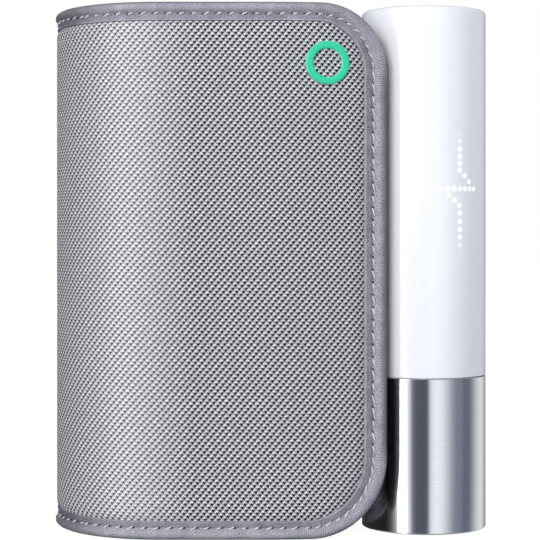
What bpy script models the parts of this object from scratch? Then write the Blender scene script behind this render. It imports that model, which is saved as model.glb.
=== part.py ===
"""Upper arm blood pressure monitor: a round upright unit with its cuff rolled up beside it.

Metres, +Z up. The origin is in the middle of the footprint, on the surface that the object stands on.
-Y is the front, where the flap of the cuff closes over the unit, and the unit stands at +X.
"""
import math

import bmesh
import bpy
from mathutils import Vector

# Whole object
HEIGHT = 0.150
HALF_WIDTH = 0.063
SEAT_GAP = 0.0003          # left between pieces that touch
OVERRUN = 0.001            # how far a cut runs past what it cuts
SINK = 0.0001              # how far a boss or chip is set into what it is fused with
TURN_SHARE = 0.5           # round pieces are turned by this share of a side, so that edges don't meet
SMOOTH_BELOW = math.radians(35)    # faces that meet at less than this are shaded as one surface
ON_THE_LINE = 0.00003      # points this close to a fold line count as on it
ROUND_STEPS = 36           # sides of a large round piece
MEDIUM_STEPS = 24          # sides of the battery, the motor and the pump
SMALL_STEPS = 14           # sides of a small round piece
PILOT_STEPS = 11           # sides of a pilot hole, unlike those of the boss round it

# Round unit, outside
UNIT_RADIUS = 0.018
UNIT_FORWARD = 0.0055      # the unit's axis lies this far in front of the cuff's middle
FOOT_PROUD = 0.0004        # the foot pad stands this far below the end cap
STEEL_TOP = 0.0443
STEEL_WALL = 0.0008
STEEL_EDGE = 0.0004
SEAM = 0.0004              # the dark line between steel and white shell
SHELL_WALL = 0.0022
SHELL_TOP_FILLET = 0.0017
SHELL_SEAM_CHAMFER = 0.0002
FILLET_STEPS = 4
SPIGOT_LENGTH = 0.0082     # the shell's reduced end inside the steel
SEAL_THICKNESS = 0.0003
SEAL_HEIGHT = 0.0010
SEAL_BELOW_SEAM = 0.0046
SPIGOT_GROOVE_DEPTH = 0.0006

# Top cap and power button
CAP_SETBACK = 0.0004       # the cap lies this far below the shell's rim
CAP_THICKNESS = 0.0034
CAP_SKIRT_WALL = 0.0015
CAP_SKIRT_LENGTH = 0.0052
CAP_CHAMFER = 0.0003
CAP_SEAL_BELOW_TOP = 0.0058
BUTTON_RADIUS = 0.0060
BUTTON_DISH = 0.0003
BUTTON_TRAVEL = 0.0008
BUTTON_FLANGE_WIDTH = 0.0014
BUTTON_FLANGE_THICKNESS = 0.0010
BUTTON_STEM_RADIUS = 0.0016
BUTTON_STEM_LENGTH = 0.0023
PLUNGER_RADIUS = 0.0013
PLUNGER_LENGTH = 0.0020
PLUNGER_SPARE = 0.0002         # of the plunger still shows when the button is down
SWITCH_SIDE = 0.0062
SWITCH_FLOOR = 0.0010
SWITCH_BOARD_THICKNESS = 0.0010
SWITCH_BOARD_CLEARANCE = 0.0005

# Bottom cap, foot and charge port
END_CAP_HEIGHT = 0.0090
END_CAP_FLOOR = 0.0032
END_CAP_WALL = 0.0017
END_CAP_CHAMFER = 0.0006
END_CAP_RECESS = 0.0005
END_CAP_RIM = 0.0012           # outside the foot's groove
END_CAP_RIDGE = 0.0009         # between the foot's groove and the recess
FOOT_WIDTH = 0.0044
FOOT_THICKNESS = 0.0010
PORT_WIDTH = 0.0089
PORT_HEIGHT = 0.0032
PORT_DEPTH = 0.0073
PORT_SET_IN = 0.0004
PORT_WALL = 0.0003
PORT_BACK = 0.0009
PORT_TONGUE_WIDTH = 0.0066
PORT_TONGUE_THICKNESS = 0.0007
PORT_TONGUE_LENGTH = 0.0046
PORT_BOARD_LENGTH = 0.0120
PORT_BOARD_WIDTH = 0.0094
PORT_BOARD_THICKNESS = 0.0010
SCREW_RADIUS = 0.0009
SCREW_HEAD_RADIUS = 0.0017
SCREW_HEAD_HEIGHT = 0.0011
SCREW_DRIVE_RADIUS = 0.0007
SCREW_DRIVE_DEPTH = 0.0006
SCREW_STEPS = 8
END_SCREW_MARGIN = 0.0002      # from a screw head's hole to the edge of the recess
END_SCREW_LENGTH = 0.0078
BOSS_RADIUS = 0.0021

# Frame of the unit and what it carries
DISPLAY_TURN = math.radians(36)    # from the front, towards +X, to the middle of the display
CHASSIS_WALL = 0.0016
CHASSIS_TURN = math.radians(190)
CHASSIS_STEPS = 17
BULKHEAD = 0.0016
CORE_SET_BACK = 0.0042         # battery and pump lie behind the axis, away from the display
CORE_CLEARANCE = 0.0005        # between them and the frame's wall
BOARD_SPACING = 0.0010         # from the main board to the display board
MAIN_BOARD_THICKNESS = 0.0012
MAIN_BOARD_WIDTH = 0.0190
BATTERY_BEAD_DEPTH = 0.0005
BATTERY_BEAD_HEIGHT = 0.0016
CONTACT_THICKNESS = 0.0004
CONTACT_LENGTH = 0.0100
CONTACT_WIDTH = 0.0060
DISPLAY_CLEARANCE = 0.0019     # from the middle of the flat display board to the curved light guide
DISPLAY_BOARD_THICKNESS = 0.0008
DISPLAY_BOARD_WIDTH = 0.0116
DISPLAY_BELOW_TOP = 0.0320
DISPLAY_LENGTH = 0.0440
LIGHT_GUIDE_THICKNESS = 0.0010
LIGHT_GUIDE_TURN = math.radians(50)
LIGHT_GUIDE_STEPS = 7

# Pump, valve and air path
MOTOR_INSET = 0.0007           # the motor is this much slimmer than the battery
MOTOR_LENGTH = 0.0180
MOTOR_CHAMFER = 0.0004
SLEEVE_WALL = 0.0006
SLEEVE_MARGIN = 0.0012
SHAFT_RADIUS = 0.0013
SHAFT_CLEARANCE = 0.0003
SHAFT_DEPTH = 0.0050
CRANK_RADIUS = 0.0042
CRANK_THICKNESS = 0.0016
CRANK_ABOVE_MOTOR = 0.0016
CRANK_PIN_RADIUS = 0.0009
CRANK_PIN_OFFSET = 0.0018
CRANK_PIN_LENGTH = 0.0030
PUMP_LENGTH = 0.0170
PUMP_WALL = 0.0023
PUMP_CAVITY_DEPTH = 0.0085
PUMP_LOBES = 3
PUMP_LOBE_RADIUS = 0.0033
PUMP_LOBE_OFFSET = 0.0050
PUMP_LOBE_HEIGHT = 0.0022
NOZZLE_RADIUS = 0.0014
NOZZLE_LENGTH = 0.0050
MANIFOLD_HEIGHT = 0.0056
MANIFOLD_MARGIN = 0.0004       # beyond the valve that stands on it
MANIFOLD_CLEARANCE = 0.0049    # from the manifold to the frame's wall, for the hose
MANIFOLD_LEFT = -0.0062
MANIFOLD_RIGHT = 0.0032
MANIFOLD_BEVEL = 0.0006
VALVE_RADIUS = 0.0040
VALVE_HEIGHT = 0.0106
VALVE_SIDE = -0.0015
VALVE_PLUNGER_RADIUS = 0.0014
VALVE_PLUNGER_DEPTH = 0.0040
VALVE_PLUNGER_PROUD = 0.0014
VALVE_CLEARANCE = 0.0008       # from the valve's plunger up to the switch board
VALVE_TRAVEL = 0.0010
SENSOR_SIDE = 0.0050
SENSOR_HEIGHT = 0.0030
SENSOR_MARGIN = 0.0003         # from the sensor to the manifold's outer edge
HOSE_RADIUS = 0.0022
HOSE_BORE = 0.0012
HOSE_LENGTH = 0.0030
GROMMET_RADIUS = 0.0022
GROMMET_BORE = 0.0012

# Bracket between the unit and the cuff
BRACKET_ABOVE_SEAM = 0.0077
BRACKET_BELOW_TOP = 0.0140
BRACKET_HALF_WIDTH = 0.0090
BRACKET_STEPS = 7
BRACKET_SCREW_SINK = 0.0014
BRACKET_SCREW_LENGTH = 0.0072
BRACKET_SCREW_INSET = 0.0070

# Cuff in plan
CUFF_GAP_TO_UNIT = 0.0032      # from the cuff's cover to the unit, filled by the bracket
TURN_RADIUS = 0.0301           # middle of the outer turn where it bends
LAYER_PITCH = 0.0054           # from the inner turn's middle to the outer turn's
INNER_END_OVERLAP = 0.0032     # the inner end stops short of the turn beside the unit
FLAP_BOW_RADIUS = 0.0920       # the flat front bows back towards the unit
FLAP_END_TURN = math.radians(55.7) # from the unit's left, towards the front, to the flap's end
FLAP_CLEARANCE = 0.0012        # between the flap's end and the unit
ARC_STEP = math.radians(12)
BOW_STEPS = 5

# Cuff in thickness, from the middle of the cloth outwards
CUFF_HALF_THICKNESS = 0.0019
SLEEVE_CLOTH = 0.0007
STIFFENER_THICKNESS = 0.0005
BLADDER_THICKNESS = 0.0010
WRAP_LINING = 0.0009
SEAM_HALF_THICKNESS = 0.0010   # where the layers are sewn flat at the edge
TAPE_HALF_THICKNESS = 0.0022
TAPE_WIDTH = 0.0059
TAPE_WALL = 0.0009
TAPE_ROUNDING = 0.0008
SHOULDER = 0.0012              # slope from the sewn edge up to the full thickness
FLAP_TOP_CORNER = 0.0195
FLAP_LOW_CORNER = 0.0225
INNER_END_CORNER = 0.0080
CORNER_STEPS = 7
BODY_GAP = 0.0003              # between two lengths of the cuff that flex against each other
FLEX_LIFT = 0.00015            # the line that two lengths flex about lies this far outside the tape
WRAP_LIFT = 0.0003             # the moving lengths clear the floor by this much
STIFFENER_INSET = 0.0120
BLADDER_INSET = 0.0100
BLADDER_CORNER = 0.0120
BLADDER_ROLL = 0.0020
BLADDER_EDGE_SHARE = 0.35

# Hook patch and mark
HOOK_INSET = 0.0200
HOOK_MARGIN = 0.0030
HOOK_THICKNESS = 0.0008
MARK_RADIUS = 0.0061
MARK_STROKE = 0.0021
MARK_THICKNESS = 0.0005
MARK_BELOW_TOP = 0.0170
MARK_FROM_EDGE = 0.0180
MARK_STEPS = 28

# Places worked out from the sizes above
UNIT_X = HALF_WIDTH - UNIT_RADIUS
UNIT_Y = -UNIT_FORWARD
TURN_X = TURN_RADIUS + TAPE_HALF_THICKNESS - HALF_WIDTH
INNER_RADIUS = TURN_RADIUS - LAYER_PITCH
NEAR_RADIUS = (TURN_RADIUS + INNER_RADIUS) / 2       # the turn beside the unit, from inner to outer
NEAR_Y = (TURN_RADIUS - INNER_RADIUS) / 2
NEAR_REACH = NEAR_RADIUS + CUFF_HALF_THICKNESS + CUFF_GAP_TO_UNIT + UNIT_RADIUS
NEAR_X = UNIT_X - math.sqrt(NEAR_REACH ** 2 - (NEAR_Y - UNIT_Y) ** 2)
TO_CUFF = math.atan2(NEAR_Y - UNIT_Y, NEAR_X - UNIT_X)   # direction from the unit to that turn
TO_DISPLAY = DISPLAY_TURN - math.pi / 2
FLAP_END_REACH = UNIT_RADIUS + FLAP_CLEARANCE + TAPE_HALF_THICKNESS
FLAP_END_X = UNIT_X - FLAP_END_REACH * math.cos(FLAP_END_TURN)
FLAP_END_Y = UNIT_Y - FLAP_END_REACH * math.sin(FLAP_END_TURN)
FLAP_BOW_TURN = math.acos(1 - (FLAP_END_Y + TURN_RADIUS) / FLAP_BOW_RADIUS)
FLAP_BOW_START = FLAP_END_X - FLAP_BOW_RADIUS * math.sin(FLAP_BOW_TURN)

SHELL_BORE = UNIT_RADIUS - SHELL_WALL
STEEL_BORE = UNIT_RADIUS - STEEL_WALL
CHASSIS_OUTER = SHELL_BORE - SEAT_GAP
CHASSIS_INNER = CHASSIS_OUTER - CHASSIS_WALL
END_CAP_OUTER = STEEL_BORE - SEAT_GAP
FOOT_OUTER = END_CAP_OUTER - END_CAP_RIM - SEAT_GAP
FOOT_INNER = FOOT_OUTER - FOOT_WIDTH
END_CAP_RECESS_RADIUS = FOOT_INNER - SEAT_GAP - END_CAP_RIDGE
END_SCREW_SPACING = END_CAP_RECESS_RADIUS - END_SCREW_MARGIN - SEAT_GAP - SCREW_HEAD_RADIUS
CORE_RADIUS = CHASSIS_INNER - CORE_CLEARANCE - CORE_SET_BACK     # of the battery and the pump
MOTOR_RADIUS = CORE_RADIUS - MOTOR_INSET
PUMP_CAVITY = CORE_RADIUS - PUMP_WALL
GUIDE_INNER = CHASSIS_OUTER - LIGHT_GUIDE_THICKNESS
DISPLAY_BOARD_OUT = GUIDE_INNER - DISPLAY_CLEARANCE - DISPLAY_BOARD_THICKNESS
MAIN_BOARD_OUT = DISPLAY_BOARD_OUT - BOARD_SPACING - MAIN_BOARD_THICKNESS
MANIFOLD_OUTER = CHASSIS_INNER - MANIFOLD_CLEARANCE
SENSOR_OFFSET = MANIFOLD_OUTER - SENSOR_MARGIN - SENSOR_SIDE / 2
VALVE_OFFSET = SENSOR_OFFSET - SENSOR_SIDE / 2 - SEAT_GAP - VALVE_RADIUS
MANIFOLD_INNER = VALVE_OFFSET - VALVE_RADIUS - MANIFOLD_MARGIN
CAP_TOP = HEIGHT - CAP_SETBACK
CAP_UNDER = CAP_TOP - CAP_THICKNESS
FLANGE_TOP = CAP_UNDER - SEAT_GAP
FLANGE_UNDER = FLANGE_TOP - BUTTON_FLANGE_THICKNESS
STEM_END = FLANGE_UNDER - BUTTON_STEM_LENGTH
PLUNGER_TOP = STEM_END - SEAT_GAP
SWITCH_TOP = PLUNGER_TOP - BUTTON_TRAVEL - PLUNGER_SPARE
PLUNGER_BORE_LOW = PLUNGER_TOP - PLUNGER_LENGTH - BUTTON_TRAVEL - SEAT_GAP
SWITCH_LOW = PLUNGER_BORE_LOW - SWITCH_FLOOR
SWITCH_BOARD_TOP = SWITCH_LOW - SEAT_GAP
SWITCH_BOARD_LOW = SWITCH_BOARD_TOP - SWITCH_BOARD_THICKNESS
END_CAP_TOP = FOOT_PROUD + END_CAP_HEIGHT
FLOOR_TOP = FOOT_PROUD + END_CAP_FLOOR
PORT_LOW = FOOT_PROUD + END_CAP_RECESS + PORT_SET_IN
PORT_TOP = PORT_LOW + PORT_DEPTH
PORT_BOARD_LOW = PORT_TOP + SEAT_GAP
LOW_BULKHEAD = PORT_BOARD_LOW + PORT_BOARD_THICKNESS + SEAT_GAP
LOW_CONTACT = LOW_BULKHEAD + BULKHEAD + SEAT_GAP
BATTERY_LOW = LOW_CONTACT + CONTACT_THICKNESS + SEAT_GAP
VALVE_TOP = SWITCH_BOARD_LOW - VALVE_CLEARANCE - VALVE_PLUNGER_PROUD
ABOVE_MANIFOLD = VALVE_TOP - VALVE_HEIGHT
MANIFOLD_TOP = ABOVE_MANIFOLD - SEAT_GAP
MANIFOLD_LOW = MANIFOLD_TOP - MANIFOLD_HEIGHT
AIR_LEVEL = (MANIFOLD_LOW + MANIFOLD_TOP) / 2
HIGH_BULKHEAD = MANIFOLD_LOW - SEAT_GAP - BULKHEAD
PUMP_TOP = HIGH_BULKHEAD - SEAT_GAP
PUMP_LOW = PUMP_TOP - PUMP_LENGTH
MOTOR_TOP = PUMP_LOW - SEAT_GAP
MOTOR_LOW = MOTOR_TOP - MOTOR_LENGTH
MID_BULKHEAD = MOTOR_LOW - SEAT_GAP - BULKHEAD
HIGH_CONTACT = MID_BULKHEAD - SEAT_GAP - CONTACT_THICKNESS
BATTERY_TOP = HIGH_CONTACT - SEAT_GAP      # the battery fills the height that the rest leaves
DISPLAY_HIGH = HEIGHT - DISPLAY_BELOW_TOP
DISPLAY_LOW = DISPLAY_HIGH - DISPLAY_LENGTH
BRACKET_LOW = STEEL_TOP + BRACKET_ABOVE_SEAM
BRACKET_HIGH = HEIGHT - BRACKET_BELOW_TOP

MATERIALS = {                  # colour, roughness, metallic
    "white_shell": ((0.90, 0.91, 0.92), 0.22, 0.0),
    "brushed_steel": ((0.62, 0.62, 0.63), 0.28, 1.0),
    "black_rubber": ((0.03, 0.03, 0.03), 0.70, 0.0),
    "button_plastic": ((0.82, 0.83, 0.84), 0.35, 0.0),
    "frame_plastic": ((0.12, 0.12, 0.13), 0.55, 0.0),
    "circuit_board": ((0.03, 0.20, 0.10), 0.45, 0.0),
    "bright_metal": ((0.75, 0.74, 0.72), 0.25, 1.0),
    "battery_wrap": ((0.10, 0.30, 0.60), 0.40, 0.0),
    "light_guide": ((0.95, 0.97, 1.00), 0.30, 0.0),
    "silicone": ((0.80, 0.80, 0.78), 0.60, 0.0),
    "woven_cover": ((0.42, 0.42, 0.43), 0.90, 0.0),
    "loop_lining": ((0.10, 0.10, 0.11), 0.95, 0.0),
    "edge_tape": ((0.33, 0.31, 0.34), 0.85, 0.0),
    "bladder_film": ((0.14, 0.15, 0.17), 0.50, 0.0),
    "green_rubber": ((0.06, 0.70, 0.42), 0.50, 0.0),
}


def clear_scene():
    for item in list(bpy.data.objects):
        bpy.data.objects.remove(item, do_unlink=True)


def material(name):
    """The named material, made the first time it is asked for."""
    found = bpy.data.materials.get(name)
    if found:
        return found
    colour, roughness, metallic = MATERIALS[name]
    made = bpy.data.materials.new(name)
    made.use_nodes = True
    shader = made.node_tree.nodes["Principled BSDF"]
    shader.inputs["Base Color"].default_value = (*colour, 1.0)
    shader.inputs["Roughness"].default_value = roughness
    shader.inputs["Metallic"].default_value = metallic
    return made


def axis_frame(name, location, turn=0.0, parent=None):
    """An empty that pieces hang on: its own +X looks along turn, seen from above."""
    empty = bpy.data.objects.new(name, None)
    bpy.context.collection.objects.link(empty)
    empty.location = location
    empty.rotation_euler = (0.0, 0.0, turn)
    empty.parent = parent
    return empty


def piece(name, bm, finish, frame=None, location=(0.0, 0.0, 0.0), along_x=False):
    """Make an object from a closed mesh, with its faces pointing out."""
    bmesh.ops.recalc_face_normals(bm, faces=bm.faces)
    if bm.calc_volume(signed=True) < 0.0:
        bmesh.ops.reverse_faces(bm, faces=bm.faces)
    mesh = bpy.data.meshes.new(name)
    bm.to_mesh(mesh)
    bm.free()
    mesh.shade_smooth()
    mesh.set_sharp_from_angle(angle=SMOOTH_BELOW)
    if finish:
        mesh.materials.append(material(finish))
    made = bpy.data.objects.new(name, mesh)
    bpy.context.collection.objects.link(made)
    made.location = location
    if along_x:
        made.rotation_euler = (0.0, math.pi / 2, 0.0)
    made.parent = frame
    return made


def turned(name, outline, finish, frame=None, steps=ROUND_STEPS, **place):
    """Turn a closed outline of (radius, height) points about the frame's axis."""
    bm = bmesh.new()
    rings = []
    for radius, height in outline:
        if radius == 0.0:
            rings.append([bm.verts.new((0.0, 0.0, height))] * steps)
            continue
        turns = [math.tau * (k + TURN_SHARE) / steps for k in range(steps)]
        rings.append([bm.verts.new((radius * math.cos(a), radius * math.sin(a), height)) for a in turns])
    for ring, following in zip(rings, rings[1:] + rings[:1]):
        for k in range(steps):
            after = (k + 1) % steps
            corners = list(dict.fromkeys((ring[k], ring[after], following[after], following[k])))
            if len(corners) > 2:
                bm.faces.new(corners)
    return piece(name, bm, finish, frame, **place)


def prism(name, outline, low, high, finish, frame=None):
    """Stand a flat outline of (x, y) points up from low to high."""
    bm = bmesh.new()
    bottom = [bm.verts.new((x, y, low)) for x, y in outline]
    top = [bm.verts.new((x, y, high)) for x, y in outline]
    bm.faces.new(bottom)
    bm.faces.new(top)
    for k in range(len(outline)):
        after = (k + 1) % len(outline)
        bm.faces.new((bottom[k], bottom[after], top[after], top[k]))
    return piece(name, bm, finish, frame)


def block(name, low, high, finish, frame=None, bevel=0.0):
    """A box between two corners, with its upright edges rounded off."""
    outline = [(low[0], low[1]), (high[0], low[1]), (high[0], high[1]), (low[0], high[1])]
    made = prism(name, outline, low[2], high[2], finish, frame)
    if bevel:
        edge = made.modifiers.new("rounded_edges", "BEVEL")
        edge.width = bevel
        edge.segments = 1
    return made


def rod(name, radius, low, high, frame=None, steps=SMALL_STEPS, finish=None, **place):
    """A plain round bar between two heights of its frame."""
    outline = [(0.0, low), (radius, low), (radius, high), (0.0, high)]
    return turned(name, outline, finish, frame, steps, **place)


def shape_with(target, tool, operation):
    """Add or take away the tool, which stays in the file as a guide."""
    tool.hide_render = True
    tool.display_type = "WIRE"
    step = target.modifiers.new(tool.name, "BOOLEAN")
    step.operation = operation
    step.object = tool


def cut(target, *tools):
    for tool in tools:
        shape_with(target, tool, "DIFFERENCE")


def fuse(target, *tools):
    for tool in tools:
        shape_with(target, tool, "UNION")


def arc_points(centre_x, centre_y, radius, start, end, steps):
    """Points of an arc, both ends included."""
    turns = [start + (end - start) * k / steps for k in range(steps + 1)]
    return [(centre_x + radius * math.cos(a), centre_y + radius * math.sin(a)) for a in turns]


def sector_outline(inner, outer, middle, turn, steps):
    """Outline of a curved wall between two radii."""
    start, end = middle - turn / 2, middle + turn / 2
    return arc_points(0.0, 0.0, outer, start, end, steps) + arc_points(0.0, 0.0, inner, end, start, steps)


# The outside of the unit

def upper_shell(frame):
    """White tube: rounded rim on top, and a reduced spigot that plugs into the steel."""
    spigot = STEEL_BORE - SEAT_GAP
    shoulder = STEEL_TOP + SEAM
    groove_middle = STEEL_TOP - SEAL_BELOW_SEAM
    groove_half = SEAL_HEIGHT / 2 + SEAT_GAP
    groove = spigot - SPIGOT_GROOVE_DEPTH
    fillet_x, fillet_z = UNIT_RADIUS - SHELL_TOP_FILLET, HEIGHT - SHELL_TOP_FILLET
    outline = [
        (SHELL_BORE, STEEL_TOP - SPIGOT_LENGTH),
        (spigot, STEEL_TOP - SPIGOT_LENGTH),
        (spigot, groove_middle - groove_half),
        (groove, groove_middle - groove_half),
        (groove, groove_middle + groove_half),
        (spigot, groove_middle + groove_half),
        (spigot, shoulder),
        (UNIT_RADIUS - SHELL_SEAM_CHAMFER, shoulder),
        (UNIT_RADIUS, shoulder + SHELL_SEAM_CHAMFER),
    ]
    outline += arc_points(fillet_x, fillet_z, SHELL_TOP_FILLET, 0.0, math.pi / 2, FILLET_STEPS)
    outline += [(SHELL_BORE, HEIGHT)]
    return turned("upper_shell", outline, "white_shell", frame)


def steel_sleeve(frame):
    low = FOOT_PROUD
    outline = [
        (STEEL_BORE, low),
        (UNIT_RADIUS - STEEL_EDGE, low),
        (UNIT_RADIUS, low + STEEL_EDGE),
        (UNIT_RADIUS, STEEL_TOP),
        (STEEL_BORE, STEEL_TOP),
    ]
    return turned("steel_sleeve", outline, "brushed_steel", frame)


def seal_ring(name, bore, middle, frame):
    """Thin sealing ring lying just inside a bore."""
    outer = bore - SEAT_GAP
    low, high = middle - SEAL_HEIGHT / 2, middle + SEAL_HEIGHT / 2
    inner = outer - SEAL_THICKNESS
    outline = [(inner, low), (outer, low), (outer, high), (inner, high)]
    return turned(name, outline, "black_rubber", frame)


def top_cap(frame):
    """Plug in the shell's top, with the button's hole and a groove for its seal."""
    outer = SHELL_BORE - SEAT_GAP
    hole = BUTTON_RADIUS + SEAT_GAP
    skirt_low = CAP_UNDER - CAP_SKIRT_LENGTH
    skirt_inner = outer - CAP_SKIRT_WALL
    groove = outer - SEAL_THICKNESS - SEAT_GAP
    groove_middle = CAP_TOP - CAP_SEAL_BELOW_TOP
    groove_half = SEAL_HEIGHT / 2 + SEAT_GAP
    outline = [
        (hole, CAP_UNDER),
        (hole, CAP_TOP - CAP_CHAMFER),
        (hole + CAP_CHAMFER, CAP_TOP),
        (outer - CAP_CHAMFER, CAP_TOP),
        (outer, CAP_TOP - CAP_CHAMFER),
        (outer, groove_middle + groove_half),
        (groove, groove_middle + groove_half),
        (groove, groove_middle - groove_half),
        (outer, groove_middle - groove_half),
        (outer, skirt_low),
        (skirt_inner, skirt_low),
        (skirt_inner, CAP_UNDER),
    ]
    turned("top_cap", outline, "white_shell", frame)
    seal_ring("top_cap_seal", SHELL_BORE + SEAT_GAP / 2, groove_middle, frame)


def power_button(frame):
    """Dished button with a flange that keeps it in, and a stem down to the switch."""
    flange = BUTTON_RADIUS + BUTTON_FLANGE_WIDTH
    outline = [
        (0.0, CAP_TOP - BUTTON_DISH),
        (BUTTON_RADIUS / 2, CAP_TOP - BUTTON_DISH / 2),
        (BUTTON_RADIUS - CAP_CHAMFER, CAP_TOP),
        (BUTTON_RADIUS, CAP_TOP - CAP_CHAMFER),
        (BUTTON_RADIUS, FLANGE_TOP),
        (flange, FLANGE_TOP),
        (flange, FLANGE_UNDER),
        (BUTTON_STEM_RADIUS, FLANGE_UNDER),
        (BUTTON_STEM_RADIUS, STEM_END),
        (0.0, STEM_END),
    ]
    turned("power_button", outline, "button_plastic", frame)
    rod("switch_plunger", PLUNGER_RADIUS, PLUNGER_TOP - PLUNGER_LENGTH, PLUNGER_TOP, frame,
        finish="button_plastic")


def button_switch(frame):
    """Switch with an open bore for its plunger, on a round board."""
    half = SWITCH_SIDE / 2
    body = block("button_switch", (-half, -half, SWITCH_LOW), (half, half, SWITCH_TOP),
                 "frame_plastic", frame)
    bore = PLUNGER_RADIUS + SEAT_GAP
    cut(body, rod("plunger_bore", bore, PLUNGER_BORE_LOW, SWITCH_TOP + OVERRUN, frame))
    radius = CHASSIS_INNER - SWITCH_BOARD_CLEARANCE
    rod("switch_board", radius, SWITCH_BOARD_LOW, SWITCH_BOARD_TOP, frame, ROUND_STEPS, "circuit_board")


def end_cap(frame):
    """Cup that closes the steel end: a groove for the foot, the port's slot and two screw holes."""
    low, outer = FOOT_PROUD, END_CAP_OUTER
    groove_top = FOOT_THICKNESS + SEAT_GAP
    recess = low + END_CAP_RECESS
    outline = [
        (0.0, recess),
        (END_CAP_RECESS_RADIUS - END_CAP_CHAMFER, recess),
        (END_CAP_RECESS_RADIUS, low),
        (FOOT_INNER - SEAT_GAP, low),
        (FOOT_INNER - SEAT_GAP, groove_top),
        (FOOT_OUTER + SEAT_GAP, groove_top),
        (FOOT_OUTER + SEAT_GAP, low),
        (outer - END_CAP_CHAMFER, low),
        (outer, low + END_CAP_CHAMFER),
        (outer, END_CAP_TOP),
        (outer - END_CAP_WALL, END_CAP_TOP),
        (outer - END_CAP_WALL, FLOOR_TOP),
        (0.0, FLOOR_TOP),
    ]
    cap = turned("end_cap", outline, "frame_plastic", frame)
    half_width, half_height = PORT_WIDTH / 2 + SEAT_GAP, PORT_HEIGHT / 2 + SEAT_GAP
    slot = block("port_slot", (-half_height, -half_width, low - OVERRUN),
                 (half_height, half_width, FLOOR_TOP + OVERRUN), None, frame)
    cut(cap, slot)
    for side in (-1, 1):
        place = (0.0, side * END_SCREW_SPACING, 0.0)
        head_top = recess + SCREW_HEAD_HEIGHT + SEAT_GAP
        cut(cap, screw_hole(f"end_screw_hole_{side}", low - OVERRUN, head_top, FLOOR_TOP + OVERRUN,
                            frame, location=place))
    pad = [(FOOT_INNER, 0.0), (FOOT_OUTER, 0.0), (FOOT_OUTER, FOOT_THICKNESS), (FOOT_INNER, FOOT_THICKNESS)]
    turned("foot_pad", pad, "black_rubber", frame)


def screw_hole(name, head_end, seat, far_end, frame, **place):
    """Stepped cutter for a screw: wide from the head's end to its seat, then narrow to the far end."""
    wide, narrow = SCREW_HEAD_RADIUS + SEAT_GAP, SCREW_RADIUS + SEAT_GAP
    outline = [
        (0.0, head_end),
        (wide, head_end),
        (wide, seat),
        (narrow, seat),
        (narrow, far_end),
        (0.0, far_end),
    ]
    return turned(name, outline, None, frame, SMALL_STEPS, **place)


def screw(name, length, frame, location, along_x=False):
    """Cheese-head screw from its head's face: the shank runs up, or in towards the frame's axis."""
    sign = -1.0 if along_x else 1.0
    outline = [
        (0.0, sign * SCREW_DRIVE_DEPTH),
        (SCREW_DRIVE_RADIUS, sign * SCREW_DRIVE_DEPTH),
        (SCREW_DRIVE_RADIUS, 0.0),
        (SCREW_HEAD_RADIUS, 0.0),
        (SCREW_HEAD_RADIUS, sign * SCREW_HEAD_HEIGHT),
        (SCREW_RADIUS, sign * SCREW_HEAD_HEIGHT),
        (SCREW_RADIUS, sign * length),
        (0.0, sign * length),
    ]
    turned(name, outline, "bright_metal", frame, SCREW_STEPS, location=location, along_x=along_x)


def charge_port(frame):
    """Folded metal shell with an open mouth below and a tongue inside."""
    half_w, half_h = PORT_WIDTH / 2, PORT_HEIGHT / 2
    shell = block("charge_port", (-half_h, -half_w, PORT_LOW), (half_h, half_w, PORT_TOP),
                  "bright_metal", frame)
    hollow = block("port_hollow", (PORT_WALL - half_h, PORT_WALL - half_w, PORT_LOW - OVERRUN),
                   (half_h - PORT_WALL, half_w - PORT_WALL, PORT_TOP - PORT_BACK), None, frame)
    cut(shell, hollow)
    half_tongue_w, half_tongue_h = PORT_TONGUE_WIDTH / 2, PORT_TONGUE_THICKNESS / 2
    tongue_low = PORT_TOP - PORT_BACK - PORT_TONGUE_LENGTH
    fuse(shell, block("port_tongue", (-half_tongue_h, -half_tongue_w, tongue_low),
                      (half_tongue_h, half_tongue_w, PORT_TOP - PORT_BACK / 2), None, frame))
    half_l, half_b = PORT_BOARD_LENGTH / 2, PORT_BOARD_WIDTH / 2
    block("port_board", (-half_l, -half_b, PORT_BOARD_LOW),
          (half_l, half_b, PORT_BOARD_LOW + PORT_BOARD_THICKNESS), "circuit_board", frame)


# The inside of the unit

def bulkhead(name, low, frame):
    """Cross wall of the frame: round, but cut straight where the main board stands."""
    edge = MAIN_BOARD_OUT - SEAT_GAP
    radius = CHASSIS_INNER + CHASSIS_WALL / 2
    opening = math.acos(edge / radius)
    outline = arc_points(0.0, 0.0, radius, opening, math.tau - opening, CHASSIS_STEPS)
    return prism(name, outline, low, low + BULKHEAD, None, frame)


def low_bulkhead(frame):
    """Lowest cross wall, with the two bosses that the end cap's screws go up into."""
    wall = bulkhead("bulkhead_low", LOW_BULKHEAD, frame)
    for side in (-1, 1):
        place = (0.0, side * END_SCREW_SPACING, 0.0)
        top = LOW_BULKHEAD + BULKHEAD / 2
        fuse(wall, rod(f"end_boss_{side}", BOSS_RADIUS, FLOOR_TOP + SEAT_GAP, top, frame, location=place))
        cut(wall, rod(f"end_pilot_{side}", SCREW_RADIUS + SEAT_GAP, FLOOR_TOP - OVERRUN,
                      LOW_BULKHEAD + BULKHEAD + OVERRUN, frame, PILOT_STEPS, location=place))
    return wall


def high_bulkhead(frame, core):
    """Cross wall above the pump, with the hole for the pump's nozzle."""
    wall = bulkhead("bulkhead_high", HIGH_BULKHEAD, frame)
    cut(wall, rod("nozzle_pass", NOZZLE_RADIUS + SEAT_GAP, HIGH_BULKHEAD - OVERRUN,
                  HIGH_BULKHEAD + BULKHEAD + OVERRUN, core))
    return wall


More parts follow.
